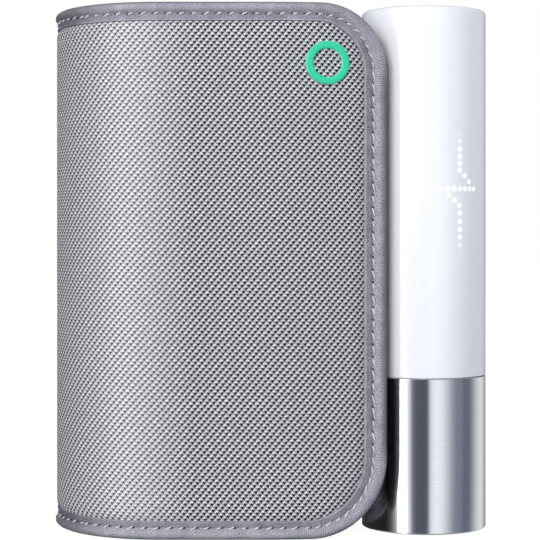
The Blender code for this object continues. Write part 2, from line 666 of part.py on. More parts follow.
def chassis(unit, cuff_side, core):
    """Half-round spine with three cross walls, and holes for the bracket's screws and the air."""
    low = END_CAP_TOP + SEAT_GAP
    wall = sector_outline(CHASSIS_INNER, CHASSIS_OUTER, math.pi, CHASSIS_TURN, CHASSIS_STEPS)
    spine = prism("chassis", wall, low, SWITCH_BOARD_TOP, "frame_plastic", unit)
    fuse(spine, low_bulkhead(unit), bulkhead("bulkhead_mid", MID_BULKHEAD, unit), high_bulkhead(unit, core))
    for k, level in enumerate(bracket_screw_levels()):
        cut(spine, rod(f"bracket_pilot_{k}", SCREW_RADIUS + SEAT_GAP, CHASSIS_INNER - OVERRUN,
                       CHASSIS_OUTER + OVERRUN, cuff_side, location=(0.0, 0.0, level), along_x=True))
    cut(spine, rod("air_pass_chassis", GROMMET_RADIUS + SEAT_GAP, CHASSIS_INNER - OVERRUN,
                   CHASSIS_OUTER + OVERRUN, cuff_side, location=(0.0, 0.0, AIR_LEVEL), along_x=True))


def battery(core):
    """Round cell with a beaded neck and its raised end, between two contacts."""
    bead = CORE_RADIUS - BATTERY_BEAD_DEPTH
    bead_low = BATTERY_TOP - BATTERY_BEAD_HEIGHT * 2
    bead_high = BATTERY_TOP - BATTERY_BEAD_HEIGHT
    outline = [
        (0.0, BATTERY_LOW),
        (bead, BATTERY_LOW),
        (CORE_RADIUS, BATTERY_LOW + CAP_CHAMFER),
        (CORE_RADIUS, bead_low),
        (bead, (bead_low + bead_high) / 2),
        (CORE_RADIUS, bead_high),
        (CORE_RADIUS, BATTERY_TOP - CAP_CHAMFER),
        (bead, BATTERY_TOP),
        (0.0, BATTERY_TOP),
    ]
    turned("battery_cell", outline, "battery_wrap", core, MEDIUM_STEPS)
    half_l, half_w = CONTACT_LENGTH / 2, CONTACT_WIDTH / 2
    for name, low in (("battery_contact_low", LOW_CONTACT), ("battery_contact_high", HIGH_CONTACT)):
        high = low + CONTACT_THICKNESS
        block(name, (-half_l, -half_w, low), (half_l, half_w, high), "bright_metal", core)


def boards(unit):
    """Main board with its chips, display board in front of it, and the curved light guide."""
    out, inner_face = MAIN_BOARD_OUT + MAIN_BOARD_THICKNESS, MAIN_BOARD_OUT
    half = MAIN_BOARD_WIDTH / 2
    low, high = LOW_CONTACT, SWITCH_BOARD_LOW - SEAT_GAP
    board = block("main_board", (inner_face, -half, low), (out, half, high), "circuit_board", unit)
    length = high - low
    chip_shares = (                # low end, high end, left, right and height of each chip, as shares
        (0.04, 0.10, -0.30, 0.30, 0.9),
        (0.14, 0.22, -0.55, 0.15, 0.7),
        (0.25, 0.31, -0.20, 0.50, 0.5),
        (0.35, 0.44, -0.60, 0.60, 0.8),
        (0.90, 0.95, -0.40, 0.40, 0.6),
    )
    for k, (start, end, left, right, rise) in enumerate(chip_shares):
        chip = block(f"chip_{k}", (out - SINK, left * half, low + start * length),
                     (out + rise * MAIN_BOARD_THICKNESS, right * half, low + end * length), None, unit)
        fuse(board, chip)
    link_out = DISPLAY_BOARD_OUT - SEAT_GAP
    link_low = DISPLAY_LOW + (DISPLAY_HIGH - DISPLAY_LOW) / 2
    fuse(board, block("board_link", (out - SINK, -CONTACT_LENGTH / 2, link_low),
                      (link_out, CONTACT_LENGTH / 2, link_low + CONTACT_WIDTH), None, unit))
    half_display = DISPLAY_BOARD_WIDTH / 2
    block("display_board", (DISPLAY_BOARD_OUT, -half_display, DISPLAY_LOW),
          (DISPLAY_BOARD_OUT + DISPLAY_BOARD_THICKNESS, half_display, DISPLAY_HIGH), "circuit_board", unit)
    guide = sector_outline(GUIDE_INNER, CHASSIS_OUTER, 0.0, LIGHT_GUIDE_TURN, LIGHT_GUIDE_STEPS)
    prism("light_guide", guide, DISPLAY_LOW, DISPLAY_HIGH, "light_guide", unit)


def pump(core):
    """Motor in its rubber sleeve, crank, and the three-chamber head with its outlet."""
    shaft_hole = SHAFT_RADIUS + SHAFT_CLEARANCE
    shaft_floor = MOTOR_TOP - SHAFT_DEPTH - SEAT_GAP
    can = [
        (0.0, MOTOR_LOW),
        (MOTOR_RADIUS - MOTOR_CHAMFER, MOTOR_LOW),
        (MOTOR_RADIUS, MOTOR_LOW + MOTOR_CHAMFER),
        (MOTOR_RADIUS, MOTOR_TOP - MOTOR_CHAMFER),
        (MOTOR_RADIUS - MOTOR_CHAMFER, MOTOR_TOP),
        (shaft_hole, MOTOR_TOP),
        (shaft_hole, shaft_floor),
        (0.0, shaft_floor),
    ]
    turned("pump_motor", can, "bright_metal", core, MEDIUM_STEPS)
    inner = MOTOR_RADIUS + SEAT_GAP
    low, high = MOTOR_LOW + SLEEVE_MARGIN, MOTOR_TOP - SLEEVE_MARGIN
    sleeve = [(inner, low), (inner + SLEEVE_WALL, low), (inner + SLEEVE_WALL, high), (inner, high)]
    turned("motor_sleeve", sleeve, "black_rubber", core, MEDIUM_STEPS)

    disc_low = MOTOR_TOP + CRANK_ABOVE_MOTOR
    disc_top = disc_low + CRANK_THICKNESS
    crank_outline = [
        (0.0, MOTOR_TOP - SHAFT_DEPTH),
        (SHAFT_RADIUS, MOTOR_TOP - SHAFT_DEPTH),
        (SHAFT_RADIUS, disc_low),
        (CRANK_RADIUS, disc_low),
        (CRANK_RADIUS, disc_top),
        (0.0, disc_top),
    ]
    crank = turned("pump_crank", crank_outline, "bright_metal", core, SMALL_STEPS)
    fuse(crank, rod("crank_pin", CRANK_PIN_RADIUS, disc_top - CRANK_THICKNESS / 2,
                    disc_top + CRANK_PIN_LENGTH, core, SMALL_STEPS, location=(CRANK_PIN_OFFSET, 0.0, 0.0)))

    cavity_top = PUMP_LOW + PUMP_CAVITY_DEPTH
    lobe_low = PUMP_TOP - PUMP_LOBE_HEIGHT
    head_outline = [
        (PUMP_CAVITY, PUMP_LOW),
        (CORE_RADIUS, PUMP_LOW),
        (CORE_RADIUS, lobe_low),
        (0.0, lobe_low),
        (0.0, cavity_top),
        (PUMP_CAVITY, cavity_top),
    ]
    head = turned("pump_head", head_outline, "frame_plastic", core, MEDIUM_STEPS)
    for k in range(PUMP_LOBES):
        turn = math.tau * k / PUMP_LOBES
        place = (PUMP_LOBE_OFFSET * math.cos(turn), PUMP_LOBE_OFFSET * math.sin(turn), 0.0)
        fuse(head, rod(f"pump_lobe_{k}", PUMP_LOBE_RADIUS, lobe_low - SINK, PUMP_TOP, core,
                       location=place))
    fuse(head, rod("pump_nozzle", NOZZLE_RADIUS, lobe_low - SINK, PUMP_TOP + NOZZLE_LENGTH, core))


def air_path(unit, cuff_side, core):
    """Manifold over the pump, with the relief valve and pressure sensor on it, and the way to the cuff."""
    box = block("air_manifold", (MANIFOLD_INNER, MANIFOLD_LEFT, MANIFOLD_LOW),
                (MANIFOLD_OUTER, MANIFOLD_RIGHT, MANIFOLD_TOP), "frame_plastic", cuff_side, MANIFOLD_BEVEL)
    nozzle_top = PUMP_TOP + NOZZLE_LENGTH + SEAT_GAP
    cut(box, rod("nozzle_socket", NOZZLE_RADIUS + SEAT_GAP, MANIFOLD_LOW - OVERRUN, nozzle_top, core))

    plunger_floor = VALVE_TOP - VALVE_PLUNGER_DEPTH - VALVE_TRAVEL - SEAT_GAP
    bore = VALVE_PLUNGER_RADIUS + SEAT_GAP
    valve_outline = [
        (0.0, ABOVE_MANIFOLD),
        (VALVE_RADIUS, ABOVE_MANIFOLD),
        (VALVE_RADIUS, VALVE_TOP),
        (bore, VALVE_TOP),
        (bore, plunger_floor),
        (0.0, plunger_floor),
    ]
    place = (VALVE_OFFSET, VALVE_SIDE, 0.0)
    turned("relief_valve", valve_outline, "bright_metal", cuff_side, SMALL_STEPS, location=place)
    rod("valve_plunger", VALVE_PLUNGER_RADIUS, VALVE_TOP - VALVE_PLUNGER_DEPTH,
        VALVE_TOP + VALVE_PLUNGER_PROUD, cuff_side, finish="bright_metal", location=place)
    half = SENSOR_SIDE / 2
    block("pressure_sensor", (SENSOR_OFFSET - half, VALVE_SIDE - half, ABOVE_MANIFOLD),
          (SENSOR_OFFSET + half, VALVE_SIDE + half, ABOVE_MANIFOLD + SENSOR_HEIGHT),
          "frame_plastic", cuff_side)

    at_air = {"location": (0.0, 0.0, AIR_LEVEL), "along_x": True}
    hose_start = MANIFOLD_OUTER + SEAT_GAP
    hose_end = hose_start + HOSE_LENGTH
    hose = [
        (HOSE_BORE, hose_start),
        (HOSE_RADIUS, hose_start),
        (HOSE_RADIUS, hose_end),
        (HOSE_BORE, hose_end),
    ]
    turned("air_hose", hose, "silicone", cuff_side, SMALL_STEPS, **at_air)
    bladder_face = NEAR_REACH - NEAR_RADIUS - bladder_outer()
    flange_in = bladder_face - SEAT_GAP
    grommet = [
        (GROMMET_BORE, hose_end + SEAT_GAP),
        (GROMMET_RADIUS, hose_end + SEAT_GAP),
        (GROMMET_RADIUS, flange_in),
        (GROMMET_BORE, flange_in),
    ]
    turned("air_grommet", grommet, "silicone", cuff_side, SMALL_STEPS, **at_air)


# The bracket and the holes through to the cuff

def bracket_screw_levels():
    """Three screws up the bracket, clear of the air hole near its top."""
    low, high = BRACKET_LOW + BRACKET_SCREW_INSET, AIR_LEVEL - BRACKET_SCREW_INSET * 2
    return [low, (low + high) / 2, high]


def cuff_bracket(cuff_side, shell):
    """Saddle that fits the round unit on one side and the turn of the cuff on the other."""
    unit_side = UNIT_RADIUS + SEAT_GAP
    cuff_radius = NEAR_RADIUS + CUFF_HALF_THICKNESS + SEAT_GAP
    unit_turn = math.asin(BRACKET_HALF_WIDTH / unit_side)
    cuff_turn = math.asin(BRACKET_HALF_WIDTH / cuff_radius)
    outline = arc_points(0.0, 0.0, unit_side, -unit_turn, unit_turn, BRACKET_STEPS)
    outline += arc_points(NEAR_REACH, 0.0, cuff_radius, math.pi - cuff_turn, math.pi + cuff_turn,
                          BRACKET_STEPS)
    bracket = prism("cuff_bracket", outline, BRACKET_LOW, BRACKET_HIGH, "frame_plastic", cuff_side)
    outside = NEAR_REACH - cuff_radius
    reach = outside - unit_side
    seat = outside - BRACKET_SCREW_SINK
    head_face = seat + SCREW_HEAD_HEIGHT
    for k, level in enumerate(bracket_screw_levels()):
        place = {"location": (0.0, 0.0, level), "along_x": True}
        cut(bracket, screw_hole(f"bracket_hole_{k}", outside + OVERRUN, seat - SEAT_GAP,
                                unit_side - reach, cuff_side, **place))
        cut(shell, rod(f"shell_screw_hole_{k}", SCREW_RADIUS + SEAT_GAP, SHELL_BORE - OVERRUN,
                       UNIT_RADIUS + OVERRUN, cuff_side, **place))
        screw(f"bracket_screw_{k + 1}", BRACKET_SCREW_LENGTH, cuff_side, (head_face, 0.0, level), True)
    place = {"location": (0.0, 0.0, AIR_LEVEL), "along_x": True}
    hole = GROMMET_RADIUS + SEAT_GAP
    cut(bracket, rod("air_pass_bracket", hole, unit_side - reach, outside + OVERRUN, cuff_side, **place))
    cut(shell, rod("air_pass_shell", hole, SHELL_BORE - OVERRUN, UNIT_RADIUS + OVERRUN, cuff_side, **place))


# The cuff in plan: one line of straight runs and arcs, wound from the inner end to the flap

class Route:
    """A line in plan, turning left, walked from its start by its length."""

    def __init__(self, x, y, heading, runs):
        self.runs, self.starts = [], {}
        length = 0.0
        for name, run, radius, steps in runs:
            self.starts[name] = length
            self.runs.append((length, length + run, x, y, heading, radius, steps))
            x, y, heading = self.walk(x, y, heading, radius, run)
            length += run
        self.length = length

    @staticmethod
    def walk(x, y, heading, radius, run):
        if not radius:
            return x + run * math.cos(heading), y + run * math.sin(heading), heading
        turn = run / radius
        x += radius * (math.sin(heading + turn) - math.sin(heading))
        y -= radius * (math.cos(heading + turn) - math.cos(heading))
        return x, y, heading + turn

    def at(self, along):
        """Place and heading at this length along the line."""
        for start, end, x, y, heading, radius, _ in self.runs:
            if along <= end:
                break
        return self.walk(x, y, heading, radius, along - start)

    def stations(self, start, end):
        """Lengths strictly between two places where the cloth gets a fold line."""
        marks = []
        for run_start, run_end, _, _, _, _, steps in self.runs:
            marks += [run_start + (run_end - run_start) * k / steps for k in range(steps + 1)]
        inside = sorted(mark for mark in marks if start + SEAT_GAP < mark < end - SEAT_GAP)
        kept = []
        for mark in inside:
            if not kept or mark - kept[-1] > SEAT_GAP:
                kept.append(mark)
        return kept


def cuff_route():
    """Inner turn from its end behind, round beside the unit, then the outer turn to the flap."""
    arc_steps = round(math.pi / ARC_STEP)
    inner_start = NEAR_X - INNER_END_OVERLAP
    runs = [
        ("inner_back", inner_start - TURN_X, None, 1),
        ("inner_turn", math.pi * INNER_RADIUS, INNER_RADIUS, arc_steps),
        ("inner_front", NEAR_X - TURN_X, None, 1),
        ("near_turn", math.pi * NEAR_RADIUS, NEAR_RADIUS, arc_steps),
        ("outer_back", NEAR_X - TURN_X, None, 1),
        ("far_turn", math.pi * TURN_RADIUS, TURN_RADIUS, arc_steps + 1),
        ("outer_front", FLAP_BOW_START - TURN_X, None, 1),
        ("flap_bow", FLAP_BOW_RADIUS * FLAP_BOW_TURN, FLAP_BOW_RADIUS, BOW_STEPS),
    ]
    return Route(inner_start, INNER_RADIUS, math.pi, runs)


ROUTE = cuff_route()
SLEEVE_END = ROUTE.starts["outer_back"]
FLEX_BACK = ROUTE.starts["far_turn"]
FLEX_FRONT = ROUTE.starts["outer_front"]
FLEX_SIDE = (FLEX_BACK + FLEX_FRONT) / 2


def wound(along, out, up):
    """Wind a point of the flat cloth: its length along, its distance outwards and its height."""
    x, y, heading = ROUTE.at(along)
    return x + out * math.sin(heading), y - out * math.cos(heading), up


def flex_lines():
    """Upright lines just outside the tape that the cuff flexes about, each carried by the one before.

    For each line: the frame on it, and the place in that frame of what is drawn from the origin.
    """
    lines, frame, before = {}, None, Vector((0.0, 0.0, 0.0))
    for name, along in (("side_back", FLEX_BACK), ("side_front", FLEX_SIDE), ("flap", FLEX_FRONT)):
        place = Vector(wound(along, TAPE_HALF_THICKNESS + FLEX_LIFT, 0.0))
        frame = axis_frame(f"{name}_line", place - before, parent=frame)
        lines[name] = {"frame": frame, "location": -place}
        before = place
    return lines


def flat_outline(start, end, low, high, corners, round_start, round_end, inset):
    """Outline of flat cloth, drawn in by inset along its sewn edges, and its cut sides' places.

    The corners are the radii of its bottom and its top corners.
    """
    bottom, top, quarter = low + inset, high - inset, math.pi / 2
    low_corner, high_corner = corners
    low_radius, high_radius = low_corner - inset, high_corner - inset
    low_middle, high_middle = low + low_corner, high - high_corner
    outline, cut_sides = [], []
    if round_end:
        outline += arc_points(end - low_corner, low_middle, low_radius, -quarter, 0.0, CORNER_STEPS)
        outline += arc_points(end - high_corner, high_middle, high_radius, 0.0, quarter, CORNER_STEPS)
    else:
        cut_sides.append(len(outline))
        outline += [(end, bottom), (end, top)]
    if round_start:
        outline += arc_points(start + high_corner, high_middle, high_radius, quarter, math.pi, CORNER_STEPS)
        outline += arc_points(start + low_corner, low_middle, low_radius, math.pi, 3 * quarter,
                              CORNER_STEPS)
    else:
        cut_sides.append(len(outline))
        outline += [(start, top), (start, bottom)]
    return outline, cut_sides


def panel(name, start, end, layers, finish, low=0.0, high=HEIGHT, corners=(0.0, 0.0),
          round_start=False, round_end=False, **carried):
    """Cloth panel. Each layer is an inset from the edge with the cloth's inner and outer face there."""
    bm = bmesh.new()
    rings = []
    for inset, inner, outer in layers:
        outline, cut_sides = flat_outline(start, end, low, high, corners, round_start, round_end, inset)
        rings.append(([bm.verts.new((s, inner, z)) for s, z in outline],
                      [bm.verts.new((s, outer, z)) for s, z in outline]))
    count = len(outline)
    bm.faces.new(rings[-1][0])
    bm.faces.new(rings[-1][1])
    for k in range(count):
        after = (k + 1) % count
        if k in cut_sides:
            across = [(inner[k], outer[k]) for inner, outer in rings]
            across += [(inner[after], outer[after]) for inner, outer in reversed(rings)]
            for (inner, outer), (next_inner, next_outer) in zip(across, across[1:]):
                bm.faces.new((inner, outer, next_outer, next_inner))
            continue
        first_inner, first_outer = rings[0]
        bm.faces.new((first_inner[k], first_inner[after], first_outer[after], first_outer[k]))
        for ring, following in zip(rings, rings[1:]):
            for face in (0, 1):
                near_edge, far_edge = ring[face], following[face]
                bm.faces.new((near_edge[k], near_edge[after], far_edge[after], far_edge[k]))
    for mark in ROUTE.stations(start, end):
        bmesh.ops.bisect_plane(bm, geom=bm.verts[:] + bm.edges[:] + bm.faces[:], dist=ON_THE_LINE,
                               plane_co=(mark, 0.0, 0.0), plane_no=(1.0, 0.0, 0.0))
    bmesh.ops.triangulate(bm, faces=bm.faces, ngon_method="EAR_CLIP")
    for vert in bm.verts:
        vert.co = wound(*vert.co)
    return piece(name, bm, finish, **carried)


TAPE_END_FACES = ((0, 1, 8, 9), (1, 2, 3, 4, 7, 8), (4, 5, 6, 7))   # corners of the section below


def tape(name, path, **carried):
    """Binding tape folded round a sewn edge: a channel that follows a path of (length, height)."""
    half, inner = TAPE_HALF_THICKNESS, SEAM_HALF_THICKNESS + SEAT_GAP
    section = [
        (TAPE_WIDTH, -half),
        (TAPE_ROUNDING, -half),
        (0.0, TAPE_ROUNDING - half),
        (0.0, half - TAPE_ROUNDING),
        (TAPE_ROUNDING, half),
        (TAPE_WIDTH, half),
        (TAPE_WIDTH, inner),
        (TAPE_WALL, inner),
        (TAPE_WALL, -inner),
        (TAPE_WIDTH, -inner),
    ]
    bm = bmesh.new()
    columns = []
    for k, point in enumerate(path):
        before, after = Vector(path[max(k - 1, 0)]), Vector(path[min(k + 1, len(path) - 1)])
        way = (after - before).normalized()
        column = [(point[0] - way.y * deep, out, point[1] + way.x * deep) for deep, out in section]
        columns.append([bm.verts.new(wound(*corner)) for corner in column])
    for column in (columns[0], columns[-1]):
        for corners in TAPE_END_FACES:
            bm.faces.new([column[k] for k in corners])
    for column, following in zip(columns, columns[1:]):
        for k in range(len(section)):
            after = (k + 1) % len(section)
            bm.faces.new((column[k], column[after], following[after], following[k]))
    bmesh.ops.triangulate(bm, faces=bm.faces, ngon_method="EAR_CLIP")
    return piece(name, bm, "edge_tape", **carried)


def straight_edge(start, end, level, backwards):
    """Path of a tape along the cloth's top or bottom edge."""
    path = [(along, level) for along in [start] + ROUTE.stations(start, end) + [end]]
    return path[::-1] if backwards else path


def bladder_outer():
    """How far the bladder's outer face lies from the middle of the cloth."""
    return CUFF_HALF_THICKNESS - SLEEVE_CLOTH - STIFFENER_THICKNESS - 2 * SEAT_GAP


def edge_layers(inner, outer, seam_inner, seam_outer):
    """Cloth that is sewn flat under the tape and rises to its full thickness beside it."""
    tape_edge = TAPE_WALL + SEAT_GAP
    beside = TAPE_WIDTH + SEAT_GAP
    return [(tape_edge, seam_inner, seam_outer), (beside, seam_inner, seam_outer),
            (beside + SHOULDER, inner, outer)]


def sleeve_cloth(cuff_side):
    """Inner turn: cover, stiffener, bladder and lining, open only beside the unit for the air."""
    half, seam = CUFF_HALF_THICKNESS, SEAM_HALF_THICKNESS
    start, end = 0.0, SLEEVE_END - BODY_GAP
    round_end = {"corners": (INNER_END_CORNER, INNER_END_CORNER), "round_start": True}
    cover = panel("sleeve_cover", start, end, edge_layers(half - SLEEVE_CLOTH, half, SEAT_GAP / 2, seam),
                  "woven_cover", **round_end)
    panel("sleeve_lining", start, end, edge_layers(-half, SLEEVE_CLOTH - half, -seam, -SEAT_GAP / 2),
          "loop_lining", **round_end)
    stiff_out = half - SLEEVE_CLOTH - SEAT_GAP
    stiff = panel("cuff_stiffener", STIFFENER_INSET, end - STIFFENER_INSET,
                  [(STIFFENER_INSET, stiff_out - STIFFENER_THICKNESS, stiff_out)], "frame_plastic")
    full, rolled = bladder_outer(), BLADDER_THICKNESS * BLADDER_EDGE_SHARE
    bladder_layers = [
        (0.0, full - BLADDER_THICKNESS + rolled, full - rolled),
        (BLADDER_ROLL, full - BLADDER_THICKNESS, full),
    ]
    panel("air_bladder", BLADDER_INSET, end - BLADDER_INSET, bladder_layers, "bladder_film",
          BLADDER_INSET, HEIGHT - BLADDER_INSET, (BLADDER_CORNER, BLADDER_CORNER), True, True)
    for name, target in (("cover", cover), ("stiffener", stiff)):
        cut(target, rod(f"air_pass_{name}", GROMMET_RADIUS + SEAT_GAP, UNIT_RADIUS,
                        NEAR_REACH - NEAR_RADIUS, cuff_side, location=(0.0, 0.0, AIR_LEVEL), along_x=True))


def wrap_cloth(name, start, end, low, **shape):
    """One length of the outer turn: padded cover outside, loop lining inside."""
    half, seam = CUFF_HALF_THICKNESS, SEAM_HALF_THICKNESS
    split = WRAP_LINING - half
    panel(f"{name}_cover", start, end, edge_layers(split + SEAT_GAP, half, SEAT_GAP / 2, seam),
          "woven_cover", low, **shape)
    panel(f"{name}_lining", start, end, edge_layers(-half, split, -seam, -SEAT_GAP / 2),
          "loop_lining", low, **shape)


def root_tape():
    """Tape of the part that stays put: along the top, round the inner end and back along the bottom."""
    end, corner, quarter = FLEX_BACK - BODY_GAP / 2, INNER_END_CORNER, math.pi / 2
    path = straight_edge(corner, end, HEIGHT, True)[:-1]
    path += arc_points(corner, HEIGHT - corner, corner, quarter, math.pi, CORNER_STEPS)
    path += arc_points(corner, corner, corner, math.pi, 3 * quarter, CORNER_STEPS)
    path += straight_edge(corner, end, 0.0, False)[1:]
    tape("cuff_tape", path)


def flap_tape(start, carried):
    """Tape of the flap: along the bottom, round both corners and back along the top."""
    end, low, top, quarter = ROUTE.length, FLAP_LOW_CORNER, FLAP_TOP_CORNER, math.pi / 2
    path = straight_edge(start, end - low, WRAP_LIFT, False)[:-1]
    path += arc_points(end - low, WRAP_LIFT + low, low, -quarter, 0.0, CORNER_STEPS)
    path += arc_points(end - top, HEIGHT - top, top, 0.0, quarter, CORNER_STEPS)
    path += straight_edge(start, end - top, HEIGHT, True)[1:]
    tape("flap_tape", path, **carried)


def flexing_lengths():
    """The outer turn beyond the back: two lengths round the far side, then the flap."""
    lines, half_gap = flex_lines(), BODY_GAP / 2
    wrap_cloth("back", SLEEVE_END, FLEX_BACK - half_gap, 0.0)
    for name, start, end in (("side_back", FLEX_BACK, FLEX_SIDE), ("side_front", FLEX_SIDE, FLEX_FRONT)):
        start, end = start + half_gap, end - half_gap
        wrap_cloth(name, start, end, WRAP_LIFT, **lines[name])
        tape(f"{name}_tape_low", straight_edge(start, end, WRAP_LIFT, False), **lines[name])
        tape(f"{name}_tape_high", straight_edge(start, end, HEIGHT, True), **lines[name])
    start = FLEX_FRONT + half_gap
    wrap_cloth("flap", start, ROUTE.length, WRAP_LIFT, corners=(FLAP_LOW_CORNER, FLAP_TOP_CORNER),
               round_end=True, **lines["flap"])
    flap_tape(start, lines["flap"])
    flap_mark(lines["flap"])


def hook_patch():
    """Hook fastener on the inner turn, under the flap's loop lining."""
    face = CUFF_HALF_THICKNESS + SEAT_GAP
    start, end = ROUTE.starts["inner_front"] + HOOK_MARGIN, ROUTE.starts["near_turn"] - HOOK_MARGIN
    panel("hook_patch", start, end, [(HOOK_INSET, face, face + HOOK_THICKNESS)], "loop_lining")


def flap_mark(carried):
    """Raised ring near the flap's top corner, where the thumb lifts it."""
    along, level = ROUTE.length - MARK_FROM_EDGE, HEIGHT - MARK_BELOW_TOP
    face = CUFF_HALF_THICKNESS + SEAT_GAP
    bore, proud = MARK_RADIUS - MARK_STROKE, face + MARK_THICKNESS
    section = [(bore, face), (MARK_RADIUS, face), (MARK_RADIUS, proud), (bore, proud)]
    bm = bmesh.new()
    rings = []
    for k in range(MARK_STEPS):
        right, rise = math.cos(math.tau * k / MARK_STEPS), math.sin(math.tau * k / MARK_STEPS)
        ring = [wound(along + radius * right, out, level + radius * rise) for radius, out in section]
        rings.append([bm.verts.new(corner) for corner in ring])
    for ring, following in zip(rings, rings[1:] + rings[:1]):
        for k in range(len(section)):
            after = (k + 1) % len(section)
            bm.faces.new((ring[k], ring[after], following[after], following[k]))
    piece("flap_mark", bm, "green_rubber", **carried)


def build():
    clear_scene()
    unit = axis_frame("unit_axis", (UNIT_X, UNIT_Y, 0.0), TO_DISPLAY)
    cuff_side = axis_frame("cuff_side_axis", (UNIT_X, UNIT_Y, 0.0), TO_CUFF)
    core = axis_frame("core_axis", (-CORE_SET_BACK, 0.0, 0.0), parent=unit)

    shell = upper_shell(unit)
    steel_sleeve(unit)
    seal_ring("seam_seal", STEEL_BORE, STEEL_TOP - SEAL_BELOW_SEAM, unit)
    top_cap(unit)
    power_button(unit)
    button_switch(unit)
    end_cap(unit)
    charge_port(unit)
    for k, side in enumerate((-1, 1)):
        place = (0.0, side * END_SCREW_SPACING, FOOT_PROUD + END_CAP_RECESS)
        screw(f"end_screw_{k + 1}", END_SCREW_LENGTH, unit, place)
    chassis(unit, cuff_side, core)
    battery(core)
    boards(unit)
    pump(core)
    air_path(unit, cuff_side, core)
    cuff_bracket(cuff_side, shell)

    sleeve_cloth(cuff_side)
    hook_patch()
    root_tape()
    flexing_lengths()


build()
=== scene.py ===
# %% [markdown]
# # A blood pressure monitor with its cuff rolled up
# The object has two halves. An upright round unit holds the pump, the valve and the battery under a white
# plastic shell and a brushed steel sleeve. A padded arm cuff is wound up beside it, and its free flap lies
# over the front of the unit. Both halves stand in the frame that the CAD gives, so every place below is in
# metres in that frame.

# %% Load the frame
import math

import bmesh
import bpy
import numpy as np
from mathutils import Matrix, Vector


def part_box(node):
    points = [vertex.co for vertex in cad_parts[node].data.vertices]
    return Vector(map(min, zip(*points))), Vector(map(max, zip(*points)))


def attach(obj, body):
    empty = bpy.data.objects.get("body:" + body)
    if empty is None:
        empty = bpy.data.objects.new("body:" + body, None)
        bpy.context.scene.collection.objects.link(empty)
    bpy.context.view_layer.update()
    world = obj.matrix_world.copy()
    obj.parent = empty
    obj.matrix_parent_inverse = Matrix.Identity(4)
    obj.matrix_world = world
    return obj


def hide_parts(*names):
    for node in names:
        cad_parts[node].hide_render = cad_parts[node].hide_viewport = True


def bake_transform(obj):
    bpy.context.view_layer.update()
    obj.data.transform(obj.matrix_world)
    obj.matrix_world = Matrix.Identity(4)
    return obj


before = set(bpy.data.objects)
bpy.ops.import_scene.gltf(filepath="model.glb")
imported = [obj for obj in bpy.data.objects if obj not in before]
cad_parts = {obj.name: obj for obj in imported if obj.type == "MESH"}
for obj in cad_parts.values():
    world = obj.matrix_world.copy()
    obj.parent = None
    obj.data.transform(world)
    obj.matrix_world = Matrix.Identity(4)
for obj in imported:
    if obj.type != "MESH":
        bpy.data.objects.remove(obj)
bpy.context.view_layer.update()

# %% [markdown]
# ## Sizes
# The unit's sizes are read from the CAD pieces themselves. The cuff's sizes are repeated here, because its
# cloth is modelled anew: a cuff is one long strip that is wound up, so the strip's route is what matters.

# %% Sizes of the unit and the cuff
MM = 0.001
GAP = 0.0003                    # between pieces that touch
shell_low, shell_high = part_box("upper_shell")
steel_low, steel_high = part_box("steel_sleeve")
HEIGHT = shell_high.z
UNIT_RADIUS = (shell_high.x - shell_low.x) / 2
UNIT_X = (shell_high.x + shell_low.x) / 2
UNIT_Y = (shell_high.y + shell_low.y) / 2
SEAM_LOW = steel_high.z
print("unit axis", round(UNIT_X, 4), round(UNIT_Y, 4), "radius", round(UNIT_RADIUS, 4),
      "seam", round(SEAM_LOW, 4))

TURN_X = -0.0307
TURN_RADIUS = 0.0301
LAYER_PITCH = 0.0054
INNER_RADIUS = TURN_RADIUS - LAYER_PITCH
NEAR_RADIUS = (TURN_RADIUS + INNER_RADIUS) / 2
NEAR_Y = (TURN_RADIUS - INNER_RADIUS) / 2
CUFF_HALF = 0.0019              # half the cuff's thickness
CUFF_GAP_TO_UNIT = 0.0032
NEAR_X = UNIT_X - math.sqrt((NEAR_RADIUS + CUFF_HALF + CUFF_GAP_TO_UNIT + UNIT_RADIUS) ** 2
                            - (NEAR_Y - UNIT_Y) ** 2)
INNER_END_OVERLAP = 0.0032
TAPE_HALF = 0.0022
TAPE_WIDTH = 0.0054
END_WIDER = 0.35                # share by which the tape is wider at the flap's upright end
END_STITCH_LONGER = 0.45        # share by which its stitches are longer there
SEAM_HALF = 0.0010              # half the thickness where the layers are sewn flat
SHOULDER = 0.0024               # the slope from there up to the full thickness
FLAP_LOW_CORNER = 0.0225
FLAP_TOP_CORNER = 0.0195
INNER_END_CORNER = 0.0080
BOW_RADIUS = 0.0920
FLAP_END_TURN = math.radians(55.7)
FLAP_CLEARANCE = 0.0012
END_REACH = UNIT_RADIUS + FLAP_CLEARANCE + TAPE_HALF
BOW_TURN = math.acos(1 - (UNIT_Y - END_REACH * math.sin(FLAP_END_TURN) + TURN_RADIUS) / BOW_RADIUS)
BOW_START = UNIT_X - END_REACH * math.cos(FLAP_END_TURN) - BOW_RADIUS * math.sin(BOW_TURN)
LIFT = 0.0003                   # the lengths that move stand this far off the ground
MARK_FROM_END = 0.0180


# %% [markdown]
# ## Shader maths as Python
# A finish is a network of nodes. Written one node at a time it is hard to read, so one small class wraps a
# socket and gives it Python's operators, and one method adds any other node. `1 - mask` then adds a Math
# node, and a whole weave fits in a few lines.

